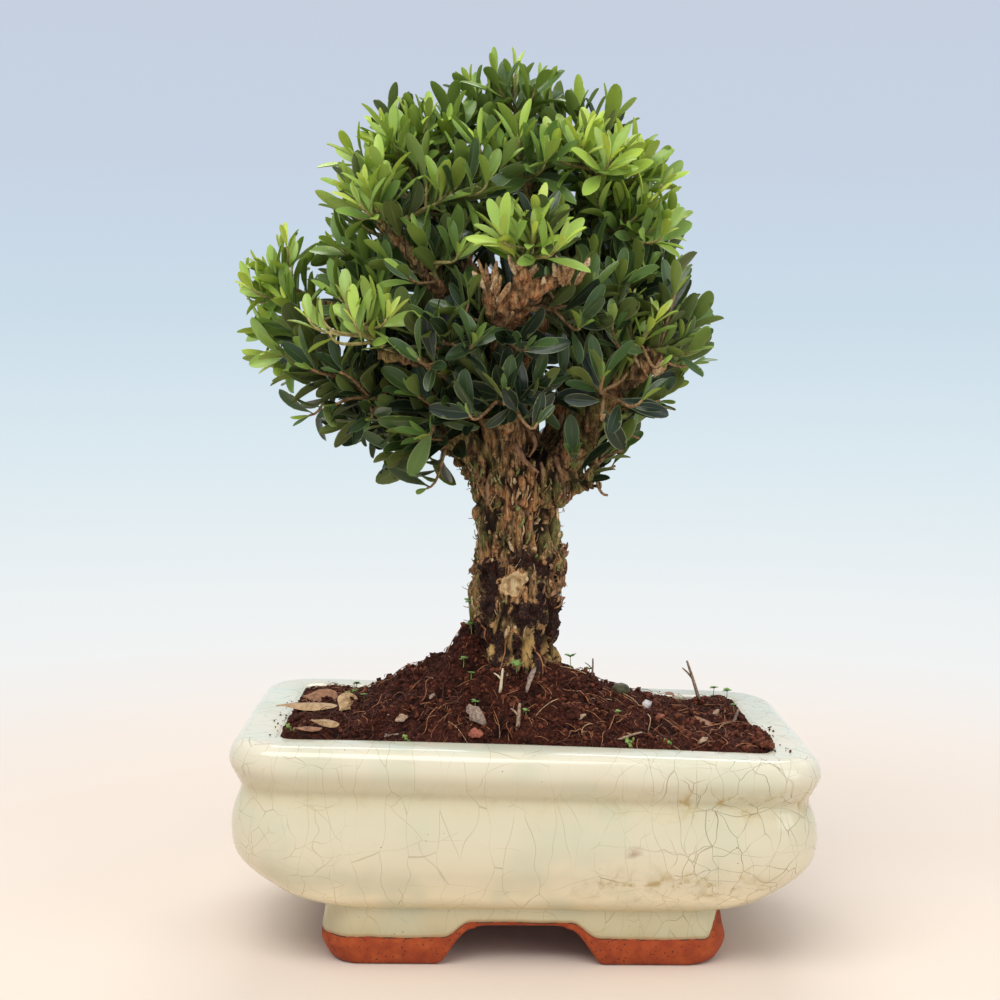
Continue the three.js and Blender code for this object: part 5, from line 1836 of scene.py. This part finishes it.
def add_leaf_pair(shape, route, turn, seed, pair, age, size, past):
    length = lengths_along(route)[-1]
    share = 1 - (TIP_BARE + PAIR_SPACING * pair) / length
    point, axis = place_on(route, share)
    across, beside = across_of(axis)
    for member in (0, 1):
        waver = 0.5 * (draw(seed, 80 + pair * 2 + member) - 0.5)
        angle = turn + math.pi / 2 * pair + math.pi * member + waver
        out = across * math.cos(angle) + beside * math.sin(angle)
        away = min(0.42 + 0.11 * pair, 0.9) + 0.32 * draw(seed, 20 + pair * 2 + member)
        heading = unit(axis * math.cos(away) + out * math.sin(away) + LEAF_LIFT * UP)
        facing = axis * math.sin(away) - out * math.cos(away) + 0.2 * UP
        facing = square_to(heading, facing)
        leaf_length = LEAF_LENGTH * (0.8 + 0.34 * draw(seed, 40 + pair * 2 + member)) * size
        leaf_length *= 0.9 if pair == 0 else 1.04
        root = point + out * STEM_RADIUS
        room = room_in_crown(root, heading, leaf_length, past)
        if room < SHORTEST_LEAF * leaf_length:
            continue
        leaf_seed = seed * 31 + pair * 7 + member
        arch = LEAF_ARCH * (0.2 + 1.6 * draw(leaf_seed, 6))
        leaf_age = np.clip(age - 0.075 * pair + 0.24 * (draw(leaf_seed, 5) - 0.5), 0, 1)
        width = (0.82 + 0.34 * draw(leaf_seed, 7)) * (0.94 + 0.16 * (1 - leaf_age))
        add_leaf(shape, root, heading, facing, min(room, leaf_length), leaf_age, leaf_seed, width, arch)


def add_tip_leaves(shape, route, turn, seed, age, past):
    """The two small folded leaves in which a shoot ends."""
    point, axis = place_on(route, 1)
    across, beside = across_of(axis)
    for member in (0, 1):
        angle = turn - math.pi / 2 + math.pi * member
        out = across * math.cos(angle) + beside * math.sin(angle)
        away = 0.18 + 0.3 * draw(seed, 60 + member)
        heading = axis * math.cos(away) + out * math.sin(away)
        facing = unit(axis * math.sin(away) - out * math.cos(away))
        length = LEAF_LENGTH * (0.32 + 0.36 * draw(seed, 62))
        if room_in_crown(point, heading, length, past + PAST_FOR_TIPS) < SHORTEST_LEAF * length:
            continue
        tip_age = min(1, age + 0.22)
        add_leaf(shape, point - axis * 0.6, heading, facing, length, tip_age, seed * 31 + 90 + member,
                 0.75, 0.05, 0.5)


def add_shoot(shape, route, radii, turn, seed, age, size=1.0, past=PAST_OUTLINE):
    """A stem with its leaf pairs, from the tip down, and the small leaves at its end."""
    length = lengths_along(route)[-1]
    add_tube(shape, route, radii, 6, 2 if age > 0.45 else 3, age=age, tone=0.5, along=0.5, across=0.5)
    pair = 0
    while TIP_BARE + PAIR_SPACING * pair < LEAFY_SHARE * length:
        add_leaf_pair(shape, route, turn, seed, pair, age, size, past)
        pair += 1
    add_tip_leaves(shape, route, turn, seed, age, past)


# Sprays: where their tips are, as the source of the solids has it
def crown_reach(direction):
    """How far the crown's outline is from its centre in a direction."""
    reach = 0
    for x, y, z, a, b, c in LOBES:
        start = (np.array(CROWN_CENTRE) - [x, y, z]) / [a, b, c]
        step = direction / [a, b, c]
        along = start @ step
        inside = along ** 2 - (step @ step) * (start @ start - 1)
        if inside > 0:
            reach = max(reach, (-along + math.sqrt(inside)) / (step @ step))
    return reach


def spray_tips():
    """Tips, headings and growth: the shoots that stand out, then those that a rule sets round the crown."""
    tips = [(np.array(tip, float), unit(heading), growth) for tip, heading, growth in FEATURE_SHOOTS]
    golden_angle = math.pi * (3 - math.sqrt(5))
    for i in range(RULE_SHOOTS):
        slope = 1 - 2 * (i + 0.5) / RULE_SHOOTS
        level = math.sqrt(1 - slope * slope)
        out = np.array([level * math.cos(golden_angle * i), level * math.sin(golden_angle * i), slope])
        tip = CROWN_CENTRE + out * (crown_reach(out) - LEAVES_PAST_TIP - 4 * draw(i, 1))
        heading = unit(out + UP * (0.7 + 0.4 * draw(i, 2)))
        is_apart = all(np.linalg.norm(other - tip) > TIP_SPACING for other, _, _ in tips)
        if slope > LOWEST_SHOOT_SLOPE and is_apart:
            tips.append((tip, heading, 0))
    return tips


def limb_point(route, share):
    """A point of a limb at a share of the steps of its route."""
    place = share * (len(route) - 1)
    index = min(int(place), len(route) - 2)
    return route[index] + (route[index + 1] - route[index]) * (place - index)


def twig_base(tip, heading, taken):
    """The place on a limb that suits a twig best, away from those that are taken."""
    best = None
    for route in limb_routes.values():
        for share in np.arange(0.4, 0.99, 0.05):
            point = limb_point(route, share)
            way = tip - point
            length = np.linalg.norm(way)
            crowded = any(np.linalg.norm(other - point) < TWIG_SPACING for other in taken)
            cost = abs(length - TWIG_LENGTH) + 9 * (1 - way @ heading / length) + (40 if crowded else 0)
            if best is None or cost < best[0]:
                best = (cost, point)
    taken.append(best[1])
    return best[1]


def twig_route(tip, heading, base):
    back = tip - heading * 0.38 * np.linalg.norm(tip - base)
    return bezier(base, base + (tip - base) * 0.35, back, tip, 12)


def side_route(tip, heading, twig, seed, side):
    across, beside = across_of(heading)
    step = side % len(SIDE_TURNS)
    is_extra = side >= len(SIDE_TURNS)
    turn = any_turn(seed, 4) + (SIDE_TURNS[step] + 0.25 * is_extra) * (2.3 + 0.9 * draw(seed, 5))
    aside = across * math.cos(turn) + beside * math.sin(turn)
    start = place_on(twig, SIDE_STARTS[step])[0]
    spread = SIDE_SPREAD * (0.9 + 0.25 * draw(seed, 6 + side)) * (0.6 if is_extra else 1)
    side_heading = unit(heading + aside * 0.5 + UP * 0.5)
    side_tip = tip + aside * spread + heading * (-2 - 4 * draw(seed, 8 + side))
    reach = np.linalg.norm(side_tip - start)
    back = side_tip - side_heading * 0.35 * reach
    return bezier(start, start + (side_tip - start) * 0.35, back, side_tip, 8)


def spray_age(tip, growth, seed):
    """How new the growth of a spray is, from 0 to 1: newest at the top and on the left lobe."""
    if growth:
        return 0.82 + 0.16 * draw(seed, 30)
    high = float(smooth(180, 265, tip[2]))
    left = float(smooth(-45, -80, tip[0])) * float(smooth(180, 196, tip[2]))
    right = float(smooth(30, 50, tip[0])) * float(smooth(165, 190, tip[2]))
    return 0.12 + 0.42 * high + 0.42 * left + 0.2 * right + 0.24 * draw(seed, 30)


def build_sprays():
    taken = []
    for index, (tip, heading, growth) in enumerate(spray_tips()):
        name = f"spray_{index + 1:02d}"
        seed = index + 1
        base = twig_base(tip, heading, taken)
        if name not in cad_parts:
            taken.pop()
            continue
        shape = Shape()
        age = spray_age(tip, growth, seed)
        twig = twig_route(tip, heading, base)
        stands_out = index < len(FEATURE_SHOOTS) and heading[2] > 0.3
        past = PAST_AT_FEATURE if stands_out else PAST_OUTLINE
        size = SIZE_BY_GROWTH[growth]
        add_shoot(shape, twig, TWIG_RADII, any_turn(seed, 3), seed * 3, age, size, past)
        for side in range(SIDES_BY_GROWTH[growth]):
            route = side_route(tip, heading, twig, seed, side)
            turn = any_turn(seed, 10 + side)
            side_age = age - (0.5 if growth == 1 and side else 0.1 * draw(seed, 70 + side))
            add_shoot(shape, route, SIDE_RADII, turn, seed * 3 + 1 + side, side_age, size, past)
        piece = add_piece(name + "_leaves", shape, LEAF_MATERIALS)
        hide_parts(name)


def build_inner_shoots():
    """Old dark shoots along the limbs, which fill the shade inside the crown."""
    for number, (name, route) in enumerate(limb_routes.items()):
        shape = Shape()
        for item in range(INNER_SHOOTS):
            seed = 500 + number * 20 + item
            share = 0.3 + 0.7 * (item + draw(seed, 1)) / INNER_SHOOTS
            start, axis = place_on(route, share)
            out = unit(start - INNER_CENTRE)
            scatter = scattered(seed, 2)
            heading = unit(out * 0.6 + axis * 0.3 + UP * 0.5 + scatter * 1.5)
            length = 13 + 9 * draw(seed, 5)
            end = start + heading * length
            room = room_in_crown(end, heading, LEAF_LENGTH)
            if end[2] < INNER_LOWEST or room < SHORTEST_LEAF * LEAF_LENGTH:
                continue
            shoot = bezier(start, start + axis * 0.3 * length, end - heading * 0.4 * length, end, 8)
            add_shoot(shape, shoot, SIDE_RADII, INNER_TURN * draw(seed, 6), seed, 0.02 + 0.2 * draw(seed, 7))
        if shape.faces:
            add_piece(f"inner_leaves_{name}", shape, LEAF_MATERIALS)


# Stage, camera and light
def to_frame(place):
    return Vector((np.asarray(place, float) + POT_ORIGIN) * MM)


def add_camera():
    data = bpy.data.cameras.new("camera")
    data.sensor_width = SENSOR_WIDTH
    data.lens = FOCAL_PIXELS / FRAME_PIXELS * SENSOR_WIDTH
    camera = in_scene("camera", data)
    yaw, pitch, roll = CAMERA_YAW, CAMERA_PITCH, CAMERA_ROLL
    ahead = Vector((-math.sin(yaw) * math.cos(pitch), math.cos(yaw) * math.cos(pitch), -math.sin(pitch)))
    level_right = Vector((math.cos(yaw), math.sin(yaw), 0))
    level_up = level_right.cross(ahead)
    right = level_right * math.cos(roll) + level_up * math.sin(roll)
    up = level_up * math.cos(roll) - level_right * math.sin(roll)
    turn = Matrix((right, up, -ahead)).transposed().to_4x4()
    camera.matrix_world = Matrix.Translation(to_frame(VIEWER)) @ turn
    bpy.context.scene.camera = camera


def add_stage():
    """A round pale floor that curves up into a wall, lit like the paper behind a studio shot."""
    profile = [[radius, 0] for radius in FLOOR_RINGS]
    for angle in np.linspace(0, math.pi / 2, 12)[1:]:
        radius = FLOOR_RINGS[-1] + COVE_RADIUS * math.sin(angle)
        profile.append([radius, COVE_RADIUS * (1 - math.cos(angle))])
    profile += [[FLOOR_RINGS[-1] + COVE_RADIUS, height] for height in WALL_RINGS]
    sides = 96
    angles = np.arange(sides) / sides * 2 * math.pi
    points = np.array([[radius * math.cos(angle), radius * math.sin(angle), height]
                       for radius, height in profile for angle in angles])
    faces = [face[::-1] for face in loft_faces(len(profile), sides, True, False)]
    radius = np.hypot(points[:, 0], points[:, 1])
    climb = (points[:, 2] - VIEWER[2]) / (radius - VIEWER[1])
    shape = one_body(points, faces, climb=climb, glow=smooth(*GLOW_REACH, radius))
    add_object("stage", shape, ["backdrop"])


def add_area_light(name, place, size, power, colour):
    data = bpy.data.lights.new(name, "AREA")
    data.shape = "RECTANGLE"
    data.size = size[0] * MM
    data.size_y = size[1] * MM
    data.energy = power
    data.color = colour
    light = in_scene(name, data)
    toward = to_frame(LIGHT_TARGET) - to_frame(place)
    light.rotation_euler = toward.to_track_quat("-Z", "Y").to_euler()
    light.location = to_frame(place)


def add_light():
    for name, values in LIGHTS.items():
        add_area_light(name, *values)
    world = bpy.data.worlds.new("soft_sky")
    world.use_nodes = True
    background = world.node_tree.nodes["Background"]
    background.inputs["Color"].default_value = (1, 0.965, 0.93, 1)
    background.inputs["Strength"].default_value = 0.7
    bpy.context.scene.world = world
    bpy.context.scene.view_settings.view_transform = "Standard"


add_camera()
add_stage()
add_light()
build_pot()
build_trunk()
soil_surface = build_soil()
for build in (build_crumbs, build_spilled, build_dead_leaves, build_chips, build_sticks,
              build_surface_roots, build_seedlings, build_moss, build_stone_and_husk):
    build(soil_surface)
build_sprays()
build_inner_shoots()
for node in ("drain_mesh_left", "drain_mesh_right"):
    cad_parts[node].data.materials.clear()
    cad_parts[node].data.materials.append(materials["drain_plastic"])
